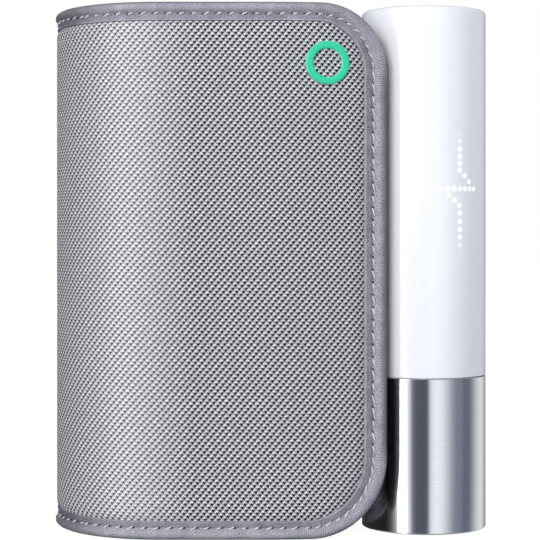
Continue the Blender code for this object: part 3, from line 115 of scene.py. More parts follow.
# %% The socket class and the finish class
class Signal:
    """A value that varies over a surface."""

    def __init__(self, finish, socket):
        self.finish = finish
        self.socket = socket

    def math(self, operation, *others, clamp=False):
        settings = {"operation": operation, "use_clamp": clamp}
        return self.finish.node("ShaderNodeMath", settings, [self, *others])

    def __add__(self, other):
        return self.math("ADD", other)

    def __sub__(self, other):
        return self.math("SUBTRACT", other)

    def __rsub__(self, other):
        return self.finish.node("ShaderNodeMath", {"operation": "SUBTRACT"}, [other, self])

    def __mul__(self, other):
        return self.math("MULTIPLY", other)

    def __truediv__(self, other):
        return self.math("DIVIDE", other)

    def __rtruediv__(self, other):
        return self.finish.node("ShaderNodeMath", {"operation": "DIVIDE"}, [other, self])

    def __pow__(self, other):
        return self.math("POWER", other)

    __radd__ = __add__
    __rmul__ = __mul__

    def clipped(self):
        return self.math("ADD", 0.0, clamp=True)

    def floor(self):
        return self.math("FLOOR")

    def off_nearest(self, step):
        """How far the value is from the nearest multiple of a step."""
        return self - (self / step + 0.5).floor() * step

    def least(self, other):
        return self.math("MINIMUM", other)

    def most(self, other):
        return self.math("MAXIMUM", other)


class Finish:
    """A material on one Principled shader. Constants go straight on the shader's own sockets."""

    def __init__(self, name, **constants):
        self.material = bpy.data.materials.new(name)
        self.material.use_nodes = True
        self.nodes = self.material.node_tree.nodes
        self.links = self.material.node_tree.links
        self.shader = self.nodes["Principled BSDF"]
        for socket, value in constants.items():
            self.put(socket.replace("_", " "), value)

    def put(self, socket, value):
        """Sets one of the shader's sockets, or links a signal to it."""
        self.feed(self.shader.inputs[socket], value)

    def feed(self, socket, value):
        if isinstance(value, Signal):
            self.links.new(value.socket, socket)
        else:
            socket.default_value = (*value, 1.0) if socket.type == "RGBA" and len(value) == 3 else value

    def node(self, kind, settings=None, inputs=(), output=0):
        """Adds a node: its settings first, then the values or links of its sockets."""
        made = self.nodes.new(kind)
        for name, value in (settings or {}).items():
            setattr(made, name, value)
        for key, value in inputs.items() if isinstance(inputs, dict) else enumerate(inputs):
            self.feed(made.inputs[key], value)
        return Signal(self, made.outputs[output])

    def mixed(self, share, first, second):
        """Goes from the first colour to the second."""
        return self.node("ShaderNodeMix", {"data_type": "RGBA"}, {0: share, 6: first, 7: second}, output=2)

    def parts(self, vector):
        """The three coordinates of a vector."""
        split = self.node("ShaderNodeSeparateXYZ", None, [vector])
        return [Signal(self, socket) for socket in split.socket.node.outputs]

    def joined(self, x, y):
        return self.node("ShaderNodeCombineXYZ", None, [x, y])

    def flat_place(self):
        """Where a point lies on the unrolled piece, in millimetres: along it, and up or across."""
        along, up, _ = self.parts(self.node("ShaderNodeUVMap", {"uv_map": "unrolled_mm"}))
        return along, up

    def solid_place(self):
        """Where a point lies in the object, in millimetres."""
        place = self.node("ShaderNodeTexCoord", None, (), output="Object")
        return self.node("ShaderNodeVectorMath", {"operation": "SCALE"}, {0: place, "Scale": 1 / MM})

    def noise(self, place, scale, detail=2.0, rough=0.5):
        """Noise at a place, or at the place that two values make."""
        place = self.joined(*place) if isinstance(place, tuple) else place
        return self.node("ShaderNodeTexNoise", None,
                         {"Vector": place, "Scale": scale, "Detail": detail, "Roughness": rough})

    def bump(self, height, distance, strength):
        """Raises the surface by height, a signal from 0 to 1, times distance in metres."""
        inputs = {"Strength": strength, "Distance": distance, "Height": height}
        self.put("Normal", self.node("ShaderNodeBump", None, inputs))


# %% [markdown]
# ## The woven cover
# The cuff's cover is a coarse weave. A light yarn makes a short zigzag at every crossing, and between the
# crossings the cloth opens to a dark hole that is wider at its top. The crossings sit on a slanting lattice.
# An image of cloth would blur and repeat, so the cell is drawn with maths: the distance to the nearest
# lattice point gives the hole, and two stretched and tilted spots give the yarn. A band of painted highlight
# lies over the cuff's outer turn: there the holes are smaller and paler, and the cloth between them is
# lighter.

# %% The woven cover's finish
WEAVE_PITCH = 1.84              # mm between the crossings of a row
WEAVE_ROW = 0.855               # mm between rows
WEAVE_LEAN = 0.74               # mm that each row lies further along
HOLE_HALF_HEIGHT = 0.39
HOLE_HALF_WIDTH = 0.34
HOLE_LEAST_WIDTH = 0.07
HOLE_FLARE_SHARE = 0.47         # share of the height that the half width grows by
LOWER_YARN = (0.44, -0.24, 0.32, 0.13, -38)     # along, up, half length and width in mm, tilt in degrees
UPPER_YARN = (0.93, -0.10, 0.42, 0.15, -50)
TURN_MIDDLE = 285.4             # mm along the strip to the middle of the outer turn
TURN_REACH = 57.0               # mm from there to where the painted highlight ends
TURN_FADE = 12.0
TURN_CALM = 10.0                # mm from there to where the painted highlight sets in
TURN_RISE = 30.0


def lattice(along, up, x, y):
    """Offset in mm from the nearest lattice point, when the lattice is moved by x and y."""
    row = ((up - y) / WEAVE_ROW + 0.5).floor()
    return (along - x - row * WEAVE_LEAN).off_nearest(WEAVE_PITCH), up - y - row * WEAVE_ROW


def stretched(across, up, long, short, tilt):
    """Distance from a spot's middle, which is 1 on the rim of a tilted ellipse."""
    turn = math.radians(tilt)
    first = (across * math.cos(turn) + up * math.sin(turn)) / long
    second = (up * math.cos(turn) - across * math.sin(turn)) / short
    return (first * first + second * second).math("SQRT")


def yarn_stroke(along, up, x, y, long, short, tilt, rows=(0,)):
    """The stroke of light yarn that is repeated over the lattice."""
    across, above = lattice(along, up, x, y)
    nearest = None
    for row in rows:
        moved = across + row * WEAVE_LEAN
        if row:
            moved = moved.off_nearest(WEAVE_PITCH)
        reach = stretched(moved, above + row * WEAVE_ROW, long, short, tilt)
        nearest = reach if nearest is None else nearest.least(reach)
    return ((1.35 - nearest) * 1.5).clipped()


def woven_finish():
    finish = Finish("woven_cover", Roughness=0.70, Specular_IOR_Level=0.3, Coat_IOR=2.1, Coat_Roughness=0.45)
    along, up = finish.flat_place()
    # painted highlight: a band across the outer turn, strongest part way round it
    to_middle = (along - TURN_MIDDLE).math("ABSOLUTE")
    turn_highlight = ((TURN_REACH - to_middle) / TURN_FADE).least((to_middle - TURN_CALM) / TURN_RISE).clipped()
    drift = finish.noise((along, up), 0.35) - 0.5
    along = along + drift * 0.30
    up = up + drift * 0.22
    across, above = lattice(along, up, 0.0, 0.0)
    width = (above * HOLE_FLARE_SHARE + HOLE_HALF_WIDTH).most(HOLE_LEAST_WIDTH)
    deep = above / HOLE_HALF_HEIGHT
    reach = ((across / width) ** 2.0 + deep * deep).math("SQRT")
    # painted highlight: on the outer turn the holes are smaller and paler
    hole = ((1.20 - turn_highlight * 0.22 - reach) * 4.0).clipped() * (1 - turn_highlight * 0.12)
    lower = yarn_stroke(along, up, *LOWER_YARN)
    upper = yarn_stroke(along, up, *UPPER_YARN, rows=(-1, 0, 1))
    fibre = finish.noise((along, up), 3.0)
    fleck = ((finish.noise((along + 50, up), 1.6, 1.0) - 0.5) * 3.4 + 0.5).clipped()
    yarn = finish.mixed(fleck, (0.62, 0.62, 0.64), (1.0, 1.0, 1.0))
    # painted highlight: on the outer turn the cloth between the holes is lighter
    colour = finish.mixed((fibre + turn_highlight * 0.30).clipped(), (0.125, 0.125, 0.14), (0.365, 0.365, 0.385))
    colour = finish.mixed(lower, colour, yarn)
    colour = finish.mixed(upper, colour, yarn)
    finish.put("Base Color", finish.mixed(hole, colour, (0.002, 0.002, 0.003)))
    finish.put("Coat Weight", ((1 - hole) * (lower.most(upper) * 0.6 + 0.4)).clipped())
    finish.bump(lower.most(upper) * 0.5 + 0.5 - hole * 0.5, 0.00025, 0.6)
    return finish


# %% [markdown]
# ## The edge tape
# A ribbed tape is folded over the cuff's raw edge and sewn through. Its ribs run square to the edge, about
# two to a millimetre, so a wave along the tape's length gives them, and noise breaks the wave up. Where the
# tape goes round a corner it is stretched, and the ribs show more. Painted shade darkens its folded rim, its
# flat strip, the rim of the flap's upright end and the tape round the cuff's left side, and a painted
# highlight runs along the ridge of its folded end.

# %% The edge tape's section and finish
TAPE_SECTION = [                # mm in from the edge and out of the cloth's middle
    (5.45, 0.93), (5.45, 1.34), (5.25, 1.64), (4.90, 1.60), (4.65, 1.42), (4.25, 1.48), (3.95, 1.46),
    (3.65, 1.34), (3.40, 1.18), (3.15, 1.34), (2.80, 1.72), (2.35, 2.02), (1.80, 2.17), (1.25, 2.12),
    (0.80, 1.86), (0.38, 1.35), (0.10, 0.72), (0.0, 0.0),
]
TAPE_FACE = TAPE_SECTION + [(depth, -out) for depth, out in TAPE_SECTION[-2::-1]]
GROOVE_POINT = 8                # the point of the section where the stitching pulls it down
STITCH_PITCH = 0.0035
NEEDLE_HOLE = 0.95              # mm from a stitch's middle to the needle's hole
RIB_PITCH = 0.50
LEFT_REACH = 33.0               # mm either side of the cuff's left side that carry painted shade
LEFT_FADE = 14.0
END_FADE = 8.0
BEND_LENGTH = 38.0              # mm of open ribs before and after the upright end
BEND_FADE = 6.0
face_steps = [math.dist(a, b) for a, b in zip(TAPE_FACE, TAPE_FACE[1:])]
rim_place = sum(face_steps) / 2
groove_places = [sum(face_steps[:k]) for k in (GROOVE_POINT, len(TAPE_FACE) - 1 - GROOVE_POINT)]
print("tape:", round(sum(face_steps), 2), "mm round, grooves at",
      [round(place, 2) for place in groove_places])


def tape_finish(name, past_left=1000.0, total=1000000.0, upright=(0.0, 0.0)):
    """Ribbed tape. It carries painted shade along its folded rim and its flat strip, at the cuff's left side,
    which lies past_left mm before the tape's start, and most at the rim of the flap's upright end, and a
    painted highlight along the ridge of its folded end. Its ribs open in the bends before and after that end."""
    finish = Finish(name, Roughness=0.55, Specular_IOR_Level=0.7)
    along, across = finish.flat_place()
    nearer = along.least(total - along)
    # painted shade: the tape round the cuff's left side is darkened
    left_side_shade = ((LEFT_REACH - (nearer + past_left).math("ABSOLUTE")) / LEFT_FADE).clipped()
    at_end = ((along - upright[0]) / END_FADE + 0.5).clipped()
    at_end = at_end * ((upright[1] - along) / END_FADE + 0.5).clipped()
    in_bend = ((nearer - upright[0] + BEND_LENGTH) / BEND_FADE).clipped() * (1 - at_end)
    wander = finish.noise((along, across), 0.7) - 0.5
    rib = ((along + wander * 0.25) * (math.tau / RIB_PITCH)).math("SINE") * 0.5
    ribbed = rib * (in_bend * 0.65 + 0.25) + 0.5
    speckle = finish.noise((along * 1.3, across), 2.3, 2.0, 0.7)
    broad = finish.noise((along, across), 0.25)
    from_rim = (across - rim_place).math("ABSOLUTE")
    # painted shade: the flat strip between the stitching and the folded end is darkened
    flat_strip_shade = ((from_rim - groove_places[1] + rim_place) * 4.0).clipped()
    # painted shade: the tape darkens towards its folded rim, all round
    rim = (1.6 - from_rim / 1.3).clipped() * 0.6
    # painted shade: the rim at the flap's upright end, beside the unit, is darker still
    end_rim_shade = ((3.6 - from_rim) / 1.8).clipped() * at_end * 0.8
    inner_side = ((across - rim_place) * 1.5).clipped()
    # painted highlight: a light line along the ridge of the tape's folded end
    hem = (1 - (across - 0.9).math("ABSOLUTE") / 0.35).clipped()
    uneven = (speckle - 0.5) * 2.0
    shade = (ribbed * (1.0 - flat_strip_shade * 0.35) + hem * 0.25 + uneven + (broad - 0.5) * 0.6).clipped()
    colour = finish.mixed(shade, (0.085, 0.08, 0.098), (0.50, 0.485, 0.545))
    # painted shade: the rim, the flap's upright end and the cuff's left side are darkened; the inner face is
    # made dark too
    dark = rim.most(end_rim_shade).most(inner_side).most(left_side_shade * 0.62)
    colour = finish.mixed(dark, colour, (0.040, 0.038, 0.046))
    pitches = along / (STITCH_PITCH / MM)
    needle = (at_end * END_STITCH_LONGER + 1.0) * NEEDLE_HOLE
    to_hole = (pitches - pitches.floor() - 0.5) * (STITCH_PITCH / MM) - needle
    hole = None
    for place in groove_places:
        reach = ((to_hole / 0.34) ** 2.0 + ((across - place + to_hole * 0.35) / 0.22) ** 2.0).math("SQRT")
        spot = ((1.4 - reach) * 1.8).clipped()
        hole = spot if hole is None else hole.most(spot)
    finish.put("Base Color", finish.mixed(hole, colour, (0.010, 0.010, 0.013)))
    finish.bump(shade - hole, 0.00010, 0.6)
    return finish


# %% [markdown]
# ## The other finishes
# The shell is glossy white plastic that lights shine through. The steel is brushed round the tube, so its
# scratches are long round the axis and very short up it.

# %% The shell's finish with its trace of lights
DOT_STEP = 1.93
DOT_RADIUS = 0.66
TRACE_TURN = math.radians(29.7)
TRACE_MIDDLE = 98.2
ROW_STEP = 2.1
TRACE_DOTS = [
    (0, 7.3, 0.12), (0, 6.4, 0.35), (0, 5.35, 0.9), (0, 4.38, 1.0), (0, 3.42, 1.0), (0, 2.5, 1.0),
    (0.9, 1.76, 1.0), (1.75, 0.98, 1.0),
    (-3, 0, 1.0), (-2, 0, 1.0), (-1, 0, 1.0), (0, 0, 1.0), (0.95, 0, 1.0), (1.9, 0, 1.0), (2.85, 0, 1.0),
    (-1.95, -0.86, 1.0), (-0.95, -1.55, 1.0), (-0.1, -2.28, 1.0), (0, -3.3, 1.0), (0, -4.4, 1.0),
    (0, -5.5, 0.9), (0, -6.55, 0.75), (0, -7.6, 0.35), (0, -8.6, 0.12),
]


def shell_finish():
    finish = Finish("white_shell", Roughness=0.22, Coat_Weight=0.5, Coat_Roughness=0.15)
    along, up = finish.flat_place()
    mottle = finish.noise((along, up), 0.8)
    finish.put("Base Color", finish.mixed(mottle, (0.79, 0.80, 0.83), (0.83, 0.84, 0.865)))
    glow = None
    for column, row, share in TRACE_DOTS:
        x = TRACE_TURN * UNIT_RADIUS / MM + column * DOT_STEP
        y = TRACE_MIDDLE + row * ROW_STEP
        away = finish.node("ShaderNodeVectorMath", {"operation": "DISTANCE"},
                           [finish.joined(along, up), (x, y, 0.0)], output="Value")
        spot = ((1.35 - away / DOT_RADIUS) * 1.1).clipped() * share
        glow = spot if glow is None else glow.most(spot)
    finish.put("Emission Color", finish.mixed(glow, (0.0, 0.0, 0.0), (1.0, 1.0, 1.0)))
    finish.put("Emission Strength", 0.6)
    grain = finish.noise((along, up), 3.0, 1.0)
    finish.bump(grain, 0.00001, 0.3)
    return finish


def steel_finish():
    finish = Finish("brushed_steel", Metallic=1.0)
    along, up = finish.flat_place()
    scratch = finish.noise((along * 0.05, up * 9.0), 1.0, 4.0, 0.7)
    streak = finish.noise((along * 0.16, up * 3.2), 1.0, 3.0, 0.7)
    finish.put("Base Color", finish.mixed(((streak - 0.5) * 0.7 + scratch).clipped(),
                                          (0.62, 0.625, 0.64), (0.82, 0.825, 0.84)))
    finish.put("Roughness", scratch * 0.10 + 0.07)
    finish.bump(scratch, 0.000006, 0.5)
    return finish


# %% Finishes for rubber, moulded plastic, metal and the rest
def grained_finish(name, dark, light, scale=1.5, relief=0.00002, **constants):
    """A moulded or cast finish: a little uneven in colour, with a fine grain."""
    finish = Finish(name, **constants)
    place = finish.solid_place()
    broad = finish.noise(place, scale * 0.2)
    fine = finish.noise(place, scale, 3.0, 0.6)
    finish.put("Base Color", finish.mixed(broad * 0.6 + fine * 0.4, dark, light))
    finish.bump(fine, relief, 0.6)
    return finish


def loop_finish():
    """Brushed loops that the hook patch grips."""
    finish = Finish("loop_lining", Roughness=0.95, Sheen_Weight=0.35, Sheen_Roughness=0.4)
    place = finish.solid_place()
    cells = finish.node("ShaderNodeTexVoronoi", None, {"Vector": place, "Scale": 1.3})
    curls = finish.noise(place, 1.1, 3.0, 0.7)
    depth = (cells * 0.7 + curls * 0.5).clipped()
    finish.put("Base Color", finish.mixed(depth, (0.13, 0.13, 0.14), (0.025, 0.025, 0.028)))
    finish.bump(1 - depth, 0.0004, 0.8)
    return finish


def board_finish():
    """Green board with copper tracks under the lacquer."""
    finish = Finish("circuit_board", Roughness=0.35, Coat_Weight=0.4)
    place = finish.solid_place()
    _, y, z = finish.parts(place)
    bands = ((z * 1.1).math("SINE") * 0.5 + 0.5 - ((y * 0.9).math("SINE") * 0.5 + 0.5)).math("ABSOLUTE")
    track = ((0.10 - bands) * 12.0).clipped()
    fine = finish.noise(place, 2.0)
    base = finish.mixed(fine, (0.012, 0.10, 0.045), (0.02, 0.15, 0.07))
    finish.put("Base Color", finish.mixed(track, base, (0.06, 0.30, 0.14)))
    finish.bump(track, 0.00005, 0.5)
    return finish


GRAINED = {
    "black_rubber": ((0.010, 0.010, 0.011), (0.022, 0.022, 0.024), {"Roughness": 0.75}),
    "cap_plastic": ((0.74, 0.745, 0.755), (0.82, 0.825, 0.835),
                    {"Roughness": 0.24, "Coat_Weight": 0.3, "Coat_Roughness": 0.1}),
    "button_plastic": ((0.70, 0.71, 0.72), (0.78, 0.79, 0.80), {"Roughness": 0.34}),
    "frame_plastic": ((0.045, 0.046, 0.050), (0.075, 0.076, 0.082), {"Roughness": 0.55}),
    "bright_metal": ((0.60, 0.59, 0.57), (0.76, 0.75, 0.73),
                     {"scale": 4.0, "relief": 0.00001, "Metallic": 1.0, "Roughness": 0.28}),
    "battery_wrap": ((0.03, 0.13, 0.32), (0.05, 0.18, 0.42), {"Roughness": 0.35, "Coat_Weight": 0.3}),
    "light_guide": ((0.86, 0.90, 0.94), (0.92, 0.95, 0.98), {"Roughness": 0.25}),
    "silicone": ((0.58, 0.58, 0.56), (0.68, 0.68, 0.66), {"Roughness": 0.55}),
    "bladder_film": ((0.05, 0.055, 0.065), (0.08, 0.085, 0.10), {"Roughness": 0.40}),
    "green_rubber": ((0.018, 0.52, 0.29), (0.026, 0.60, 0.34), {"scale": 2.0, "Roughness": 0.38}),
    "hook_plastic": ((0.018, 0.018, 0.020), (0.040, 0.040, 0.044), {"Roughness": 0.45}),
    "thread": ((0.45, 0.445, 0.47), (0.85, 0.84, 0.87), {"scale": 3.0, "relief": 0.00008, "Roughness": 0.6}),
}
FINISHES = {
    "woven_cover": woven_finish(),
    "edge_tape": tape_finish("edge_tape"),
    "white_shell": shell_finish(),
    "brushed_steel": steel_finish(),
    "loop_lining": loop_finish(),
    "circuit_board": board_finish(),
}
for name, (dark, light, settings) in GRAINED.items():
    FINISHES[name] = grained_finish(name, dark, light, **settings)
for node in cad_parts.values():
    for place, given in enumerate(node.data.materials):
        node.data.materials[place] = FINISHES[given.name.split(".")[0]].material
print("finishes:", len(FINISHES))


# %% [markdown]
# ## One way to make every closed shape
# Both the tube and the cloth can be made by joining rings of points: rings round the tube's section, or
# rings round a strip's section. One helper joins the rings, closes the ends and writes where each point lies
# on the unrolled piece, which the finishes read.

# %% Join rings of points into a closed piece
def loft(name, rings, flat, finish, closed=False, sharp=math.radians(40)):
    """A closed mesh through rings of points. The flat places have one more ring where it is closed, and
    one more point in each ring, so that the unrolled pattern doesn't run backwards at the joint."""
    columns, around = rings.shape[:2]
    spans = columns if closed else columns - 1
    c, a = np.meshgrid(np.arange(spans), np.arange(around), indexing="ij")
    c, a = c.ravel(), a.ravel()
    after, beside = (c + 1) % columns, (a + 1) % around
    quads = np.stack([c * around + a, after * around + a, after * around + beside, c * around + beside], 1)
    corners = np.stack([flat[c, a], flat[c + 1, a], flat[c + 1, a + 1], flat[c, a + 1]], 1)
    if not closed:
        k = np.arange(around // 2 - 1)
        far = around - 1 - k
        first = np.stack([k, k + 1, far - 1, far], 1)
        last = (columns - 1) * around + first[:, ::-1]
        quads = np.concatenate([quads, first, last])
        corners = np.concatenate([corners, flat[0][first], flat[columns - 1][first[:, ::-1]]])
    mesh = bpy.data.meshes.new(name)
    mesh.from_pydata(rings.reshape(-1, 3).tolist(), [], quads.tolist())
    layer = mesh.uv_layers.new(name="unrolled_mm")
    layer.data.foreach_set("uv", (corners / MM).astype(np.float32).ravel())
    mesh.materials.append(finish.material)
    return finished(name, mesh, sharp)


def finished(name, mesh, sharp=math.radians(40)):
    """Faces outwards, smooth but for its real edges, and in the scene."""
    bm = bmesh.new()
    bm.from_mesh(mesh)
    bmesh.ops.remove_doubles(bm, verts=bm.verts, dist=1e-7)
    if bm.calc_volume(signed=True) < 0:
        bmesh.ops.reverse_faces(bm, faces=bm.faces)
    bm.to_mesh(mesh)
    bm.free()
    mesh.polygons.foreach_set("use_smooth", [True] * len(mesh.polygons))
    mesh.set_sharp_from_angle(angle=sharp)
    made = bpy.data.objects.new(name, mesh)
    bpy.context.scene.collection.objects.link(made)
    return made


# %% [markdown]
# ## The unit
# Each outer part of the unit is turned, as on a lathe: a section of radius and height goes round the axis.
# The shell, the steel and the caps are thin, so a section goes up the outside and comes down the inside.

# %% Turned pieces
TURN_SIDES = 192
ROUNDING_STEPS = 4


def rounded_section(points):
    """The section with each corner rounded by its own radius. A point is (radius, height, rounding)."""
    done = []
    count = len(points)
    for k, (x, z, rounding) in enumerate(points):
        here = Vector((x, z))
        before = Vector(points[k - 1][:2])
        after = Vector(points[(k + 1) % count][:2])
        if rounding == 0:
            done.append(here)
            continue
        a, b = (before - here).normalized(), (after - here).normalized()
        half = a.angle(b) / 2
        reach = min(rounding / math.tan(half), (before - here).length / 2, (after - here).length / 2)
        real = reach * math.tan(half)
        middle = here + (a + b).normalized() * (real / math.sin(half))
        start, end = here + a * reach - middle, here + b * reach - middle
        for step in range(ROUNDING_STEPS + 1):
            share = step / ROUNDING_STEPS
            spread = start.angle(end)
            way = (start * math.sin((1 - share) * spread) + end * math.sin(share * spread)) / math.sin(spread)
            done.append(middle + way)
    return done


def turned(name, points, finish, body="base"):
    """A ring turned about the unit's axis."""
    section = rounded_section(points)
    angles = np.linspace(0, math.tau, TURN_SIDES + 1)
    radii = np.array([p.x for p in section])
    heights = np.array([p.y for p in section])
    rings = np.stack([
        UNIT_X + np.outer(np.sin(angles[:-1]), radii),
        UNIT_Y - np.outer(np.cos(angles[:-1]), radii),
        np.tile(heights, (TURN_SIDES, 1)),
    ], 2)
    flat = np.stack(np.broadcast_arrays((angles * UNIT_RADIUS)[:, None], np.append(heights, heights[0])), 2)
    made = loft(name, rings, flat, finish, closed=True)
    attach(made, body)
    return made


SHELL_WALL = 0.0022
SHELL_TOP_ROUNDING = 0.0017
SHELL_MOUTH_ROUNDING = 0.0004
SEAM = 0.0003
SEAM_ROUNDING = 0.00015
SPIGOT_LENGTH = 0.0082          # the shell's reduced end inside the steel
SPIGOT_INSET = 0.0012
SPIGOT_ROUNDING = 0.0003
STEEL_WALL = 0.0008
STEEL_FOOT_ROUNDING = 0.0005
STEEL_INNER_ROUNDING = 0.0002
shell = turned("shell", [
    (UNIT_RADIUS, SEAM_LOW + SEAM, SEAM_ROUNDING),
    (UNIT_RADIUS, HEIGHT, SHELL_TOP_ROUNDING),
    (UNIT_RADIUS - SHELL_WALL, HEIGHT, SHELL_MOUTH_ROUNDING),
    (UNIT_RADIUS - SHELL_WALL, SEAM_LOW - SPIGOT_LENGTH, 0.0),
    (UNIT_RADIUS - SPIGOT_INSET, SEAM_LOW - SPIGOT_LENGTH, SPIGOT_ROUNDING),
    (UNIT_RADIUS - SPIGOT_INSET, SEAM_LOW + SEAM, 0.0),
], FINISHES["white_shell"])
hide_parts("upper_shell")
steel = turned("steel_tube", [
    (UNIT_RADIUS, steel_low.z, STEEL_FOOT_ROUNDING),
    (UNIT_RADIUS, SEAM_LOW, SEAM_ROUNDING),
    (UNIT_RADIUS - STEEL_WALL, SEAM_LOW, 0.0),
    (UNIT_RADIUS - STEEL_WALL, steel_low.z, STEEL_INNER_ROUNDING),
], FINISHES["brushed_steel"])
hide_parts("steel_sleeve")
print("tube:", len(shell.data.vertices) + len(steel.data.vertices), "points")

# %% [markdown]
# ## The cap and its button
# The cap is pressed into the shell's top, a little below the rim, and the button stands in its hole. The
# button is dished, so that a finger finds it, and a flange under the cap keeps it in. Both are turned with
# the CAD's own section, but with rounded edges, which catch the light as moulded edges do.

# %% Cap and button
CAP_SETBACK = 0.0004
CAP_THICKNESS = 0.0034
CAP_SKIRT = 0.0052
CAP_WALL = 0.0015
CAP_SEAL_BELOW_TOP = 0.0058
SEAL_HEIGHT = 0.0010
SEAL_THICKNESS = 0.0003
BUTTON_RADIUS = 0.0060
BUTTON_DISH = 0.0005
BUTTON_FLANGE = 0.0014
BUTTON_FLANGE_THICKNESS = 0.0010
STEM_RADIUS = 0.0016
DISH_SHARES = (0.0, 0.25, 0.5, 0.7)
EDGE = 0.0004
cap_top = HEIGHT - CAP_SETBACK
cap_under = cap_top - CAP_THICKNESS
cap_outer = UNIT_RADIUS - SHELL_WALL - GAP
groove = cap_outer - SEAL_THICKNESS - GAP
groove_high = cap_top - CAP_SEAL_BELOW_TOP + SEAL_HEIGHT / 2 + GAP
groove_low = groove_high - SEAL_HEIGHT - 2 * GAP
cap = turned("cap", [
    (BUTTON_RADIUS + GAP, cap_under, 0.0), (BUTTON_RADIUS + GAP, cap_top, EDGE), (cap_outer, cap_top, EDGE),
    (cap_outer, groove_high, 0.0), (groove, groove_high, 0.0), (groove, groove_low, 0.0),
    (cap_outer, groove_low, 0.0), (cap_outer, cap_under - CAP_SKIRT, 0.0),
    (cap_outer - CAP_WALL, cap_under - CAP_SKIRT, 0.0), (cap_outer - CAP_WALL, cap_under, 0.0),
], FINISHES["cap_plastic"])
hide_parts("top_cap")
dish = [(BUTTON_RADIUS * share, cap_top - BUTTON_DISH * (1 - share ** 2), 0.0) for share in DISH_SHARES]
flange_top = cap_under - GAP
flange_low = flange_top - BUTTON_FLANGE_THICKNESS
stem_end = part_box("power_button")[0].z
button = turned("button", dish + [
    (BUTTON_RADIUS, cap_top, EDGE), (BUTTON_RADIUS, flange_top, 0.0),
    (BUTTON_RADIUS + BUTTON_FLANGE, flange_top, 0.0), (BUTTON_RADIUS + BUTTON_FLANGE, flange_low, 0.0),
    (STEM_RADIUS, flange_low, 0.0), (STEM_RADIUS, stem_end, 0.0), (0.0, stem_end, 0.0),
], FINISHES["button_plastic"], "button")
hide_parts("power_button")
print("button:", round(2 * BUTTON_RADIUS / MM, 1), "mm across, stem down to", round(stem_end / MM, 1), "mm")


# %% [markdown]
# ## The cuff's route
# The cuff is one strip. It starts inside, runs round the inner turn, passes beside the unit and goes round
# the outside, and its end bows back over the unit's front. Straight runs and arcs that meet smoothly
# describe it, so any point of the strip has a place: how far along, how far out of the cloth, how high.

# %% The route
RUNS = [
    ("inner_back", NEAR_X - INNER_END_OVERLAP - TURN_X, None),
    ("inner_turn", math.pi * INNER_RADIUS, INNER_RADIUS),
    ("inner_front", NEAR_X - TURN_X, None),
    ("near_turn", math.pi * NEAR_RADIUS, NEAR_RADIUS),
    ("outer_back", NEAR_X - TURN_X, None),
    ("far_turn", math.pi * TURN_RADIUS, TURN_RADIUS),
    ("outer_front", BOW_START - TURN_X, None),
    ("flap_bow", BOW_RADIUS * BOW_TURN, BOW_RADIUS),
]
route = []
starts = {}
x, y, heading, length = NEAR_X - INNER_END_OVERLAP, INNER_RADIUS, math.pi, 0.0
for name, run, radius in RUNS:
    route.append((length, x, y, heading, radius))
    starts[name] = length
    if radius is None:
        x, y = x + run * math.cos(heading), y + run * math.sin(heading)
    else:
        turn = run / radius
        x += radius * (math.sin(heading + turn) - math.sin(heading))
        y -= radius * (math.cos(heading + turn) - math.cos(heading))
        heading += turn
    length += run
CUFF_LENGTH = length
print("cuff route:", {name: round(start / MM, 2) for name, start in starts.items()}, round(length / MM, 2))


def wound(along, out, up):
    """Points of the wound cuff, from places along the strip, out of the cloth and up, as arrays."""
    along, out, up = np.broadcast_arrays(along, out, up)
    place = np.zeros(along.shape + (3,))
    place[..., 2] = up
    for k, (start, x, y, heading, radius) in enumerate(route):
        later = route[k + 1][0] if k + 1 < len(route) else np.inf
        here = (along >= start) & (along < later) if k else along < later
        run = along[here] - start
        if radius is None:
            turned_to = np.full(run.shape, heading)
            px, py = x + run * math.cos(heading), y + run * math.sin(heading)
        else:
            turned_to = heading + run / radius
            px = x + radius * (np.sin(turned_to) - math.sin(heading))
            py = y - radius * (np.cos(turned_to) - math.cos(heading))
        place[here, 0] = px + out[here] * np.sin(turned_to)
        place[here, 1] = py - out[here] * np.cos(turned_to)
    return place


# %% [markdown]
# ## The cloth
# The strip is modelled in four lengths, because it flexes at three lines when it is unwrapped. In each
# length the cover is the outer half of the thickness and the loop lining the inner half, and the inner
# length is hollow between them, for the stiffener and the bladder. The layers are sewn flat at the edge, so
# the thickness swells from the seam to the middle.

# %% Where the strip is cut, and its outline
LEFT_SIDE = (starts["far_turn"] + starts["outer_front"]) / 2 / MM
SLEEVE_END = 0.225
SIDE_START = 0.2617
FLAP_START = 0.3090
LENGTHS = [
    ("inner", 0.0, SLEEVE_END, "base", None),
    ("back", SLEEVE_END, SIDE_START, "base", "side_back"),
    ("side", SIDE_START, FLAP_START, "side_back", "side_front"),
    ("flap", FLAP_START, CUFF_LENGTH, "side_front", "flap"),
]


def carried(piece, first, second):
    """Lets one body carry the piece; a piece between two bodies is left unattached, where it lies."""
    if second is None:
        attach(piece, first)
    else:
        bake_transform(piece)


def height_lost(along, inset, inner_corner, flap_corner):
    """How much the rounded ends and the inset take off the strip's height at each place along it."""
    lost = np.full(along.shape, inset)
    for corner, reach in ((inner_corner, along), (flap_corner, CUFF_LENGTH - along)):
        radius = corner - inset
        into = np.clip(corner - reach, 0, radius)
        lost = np.maximum(lost, corner - np.sqrt(np.maximum(radius ** 2 - into ** 2, 0)))
    return lost


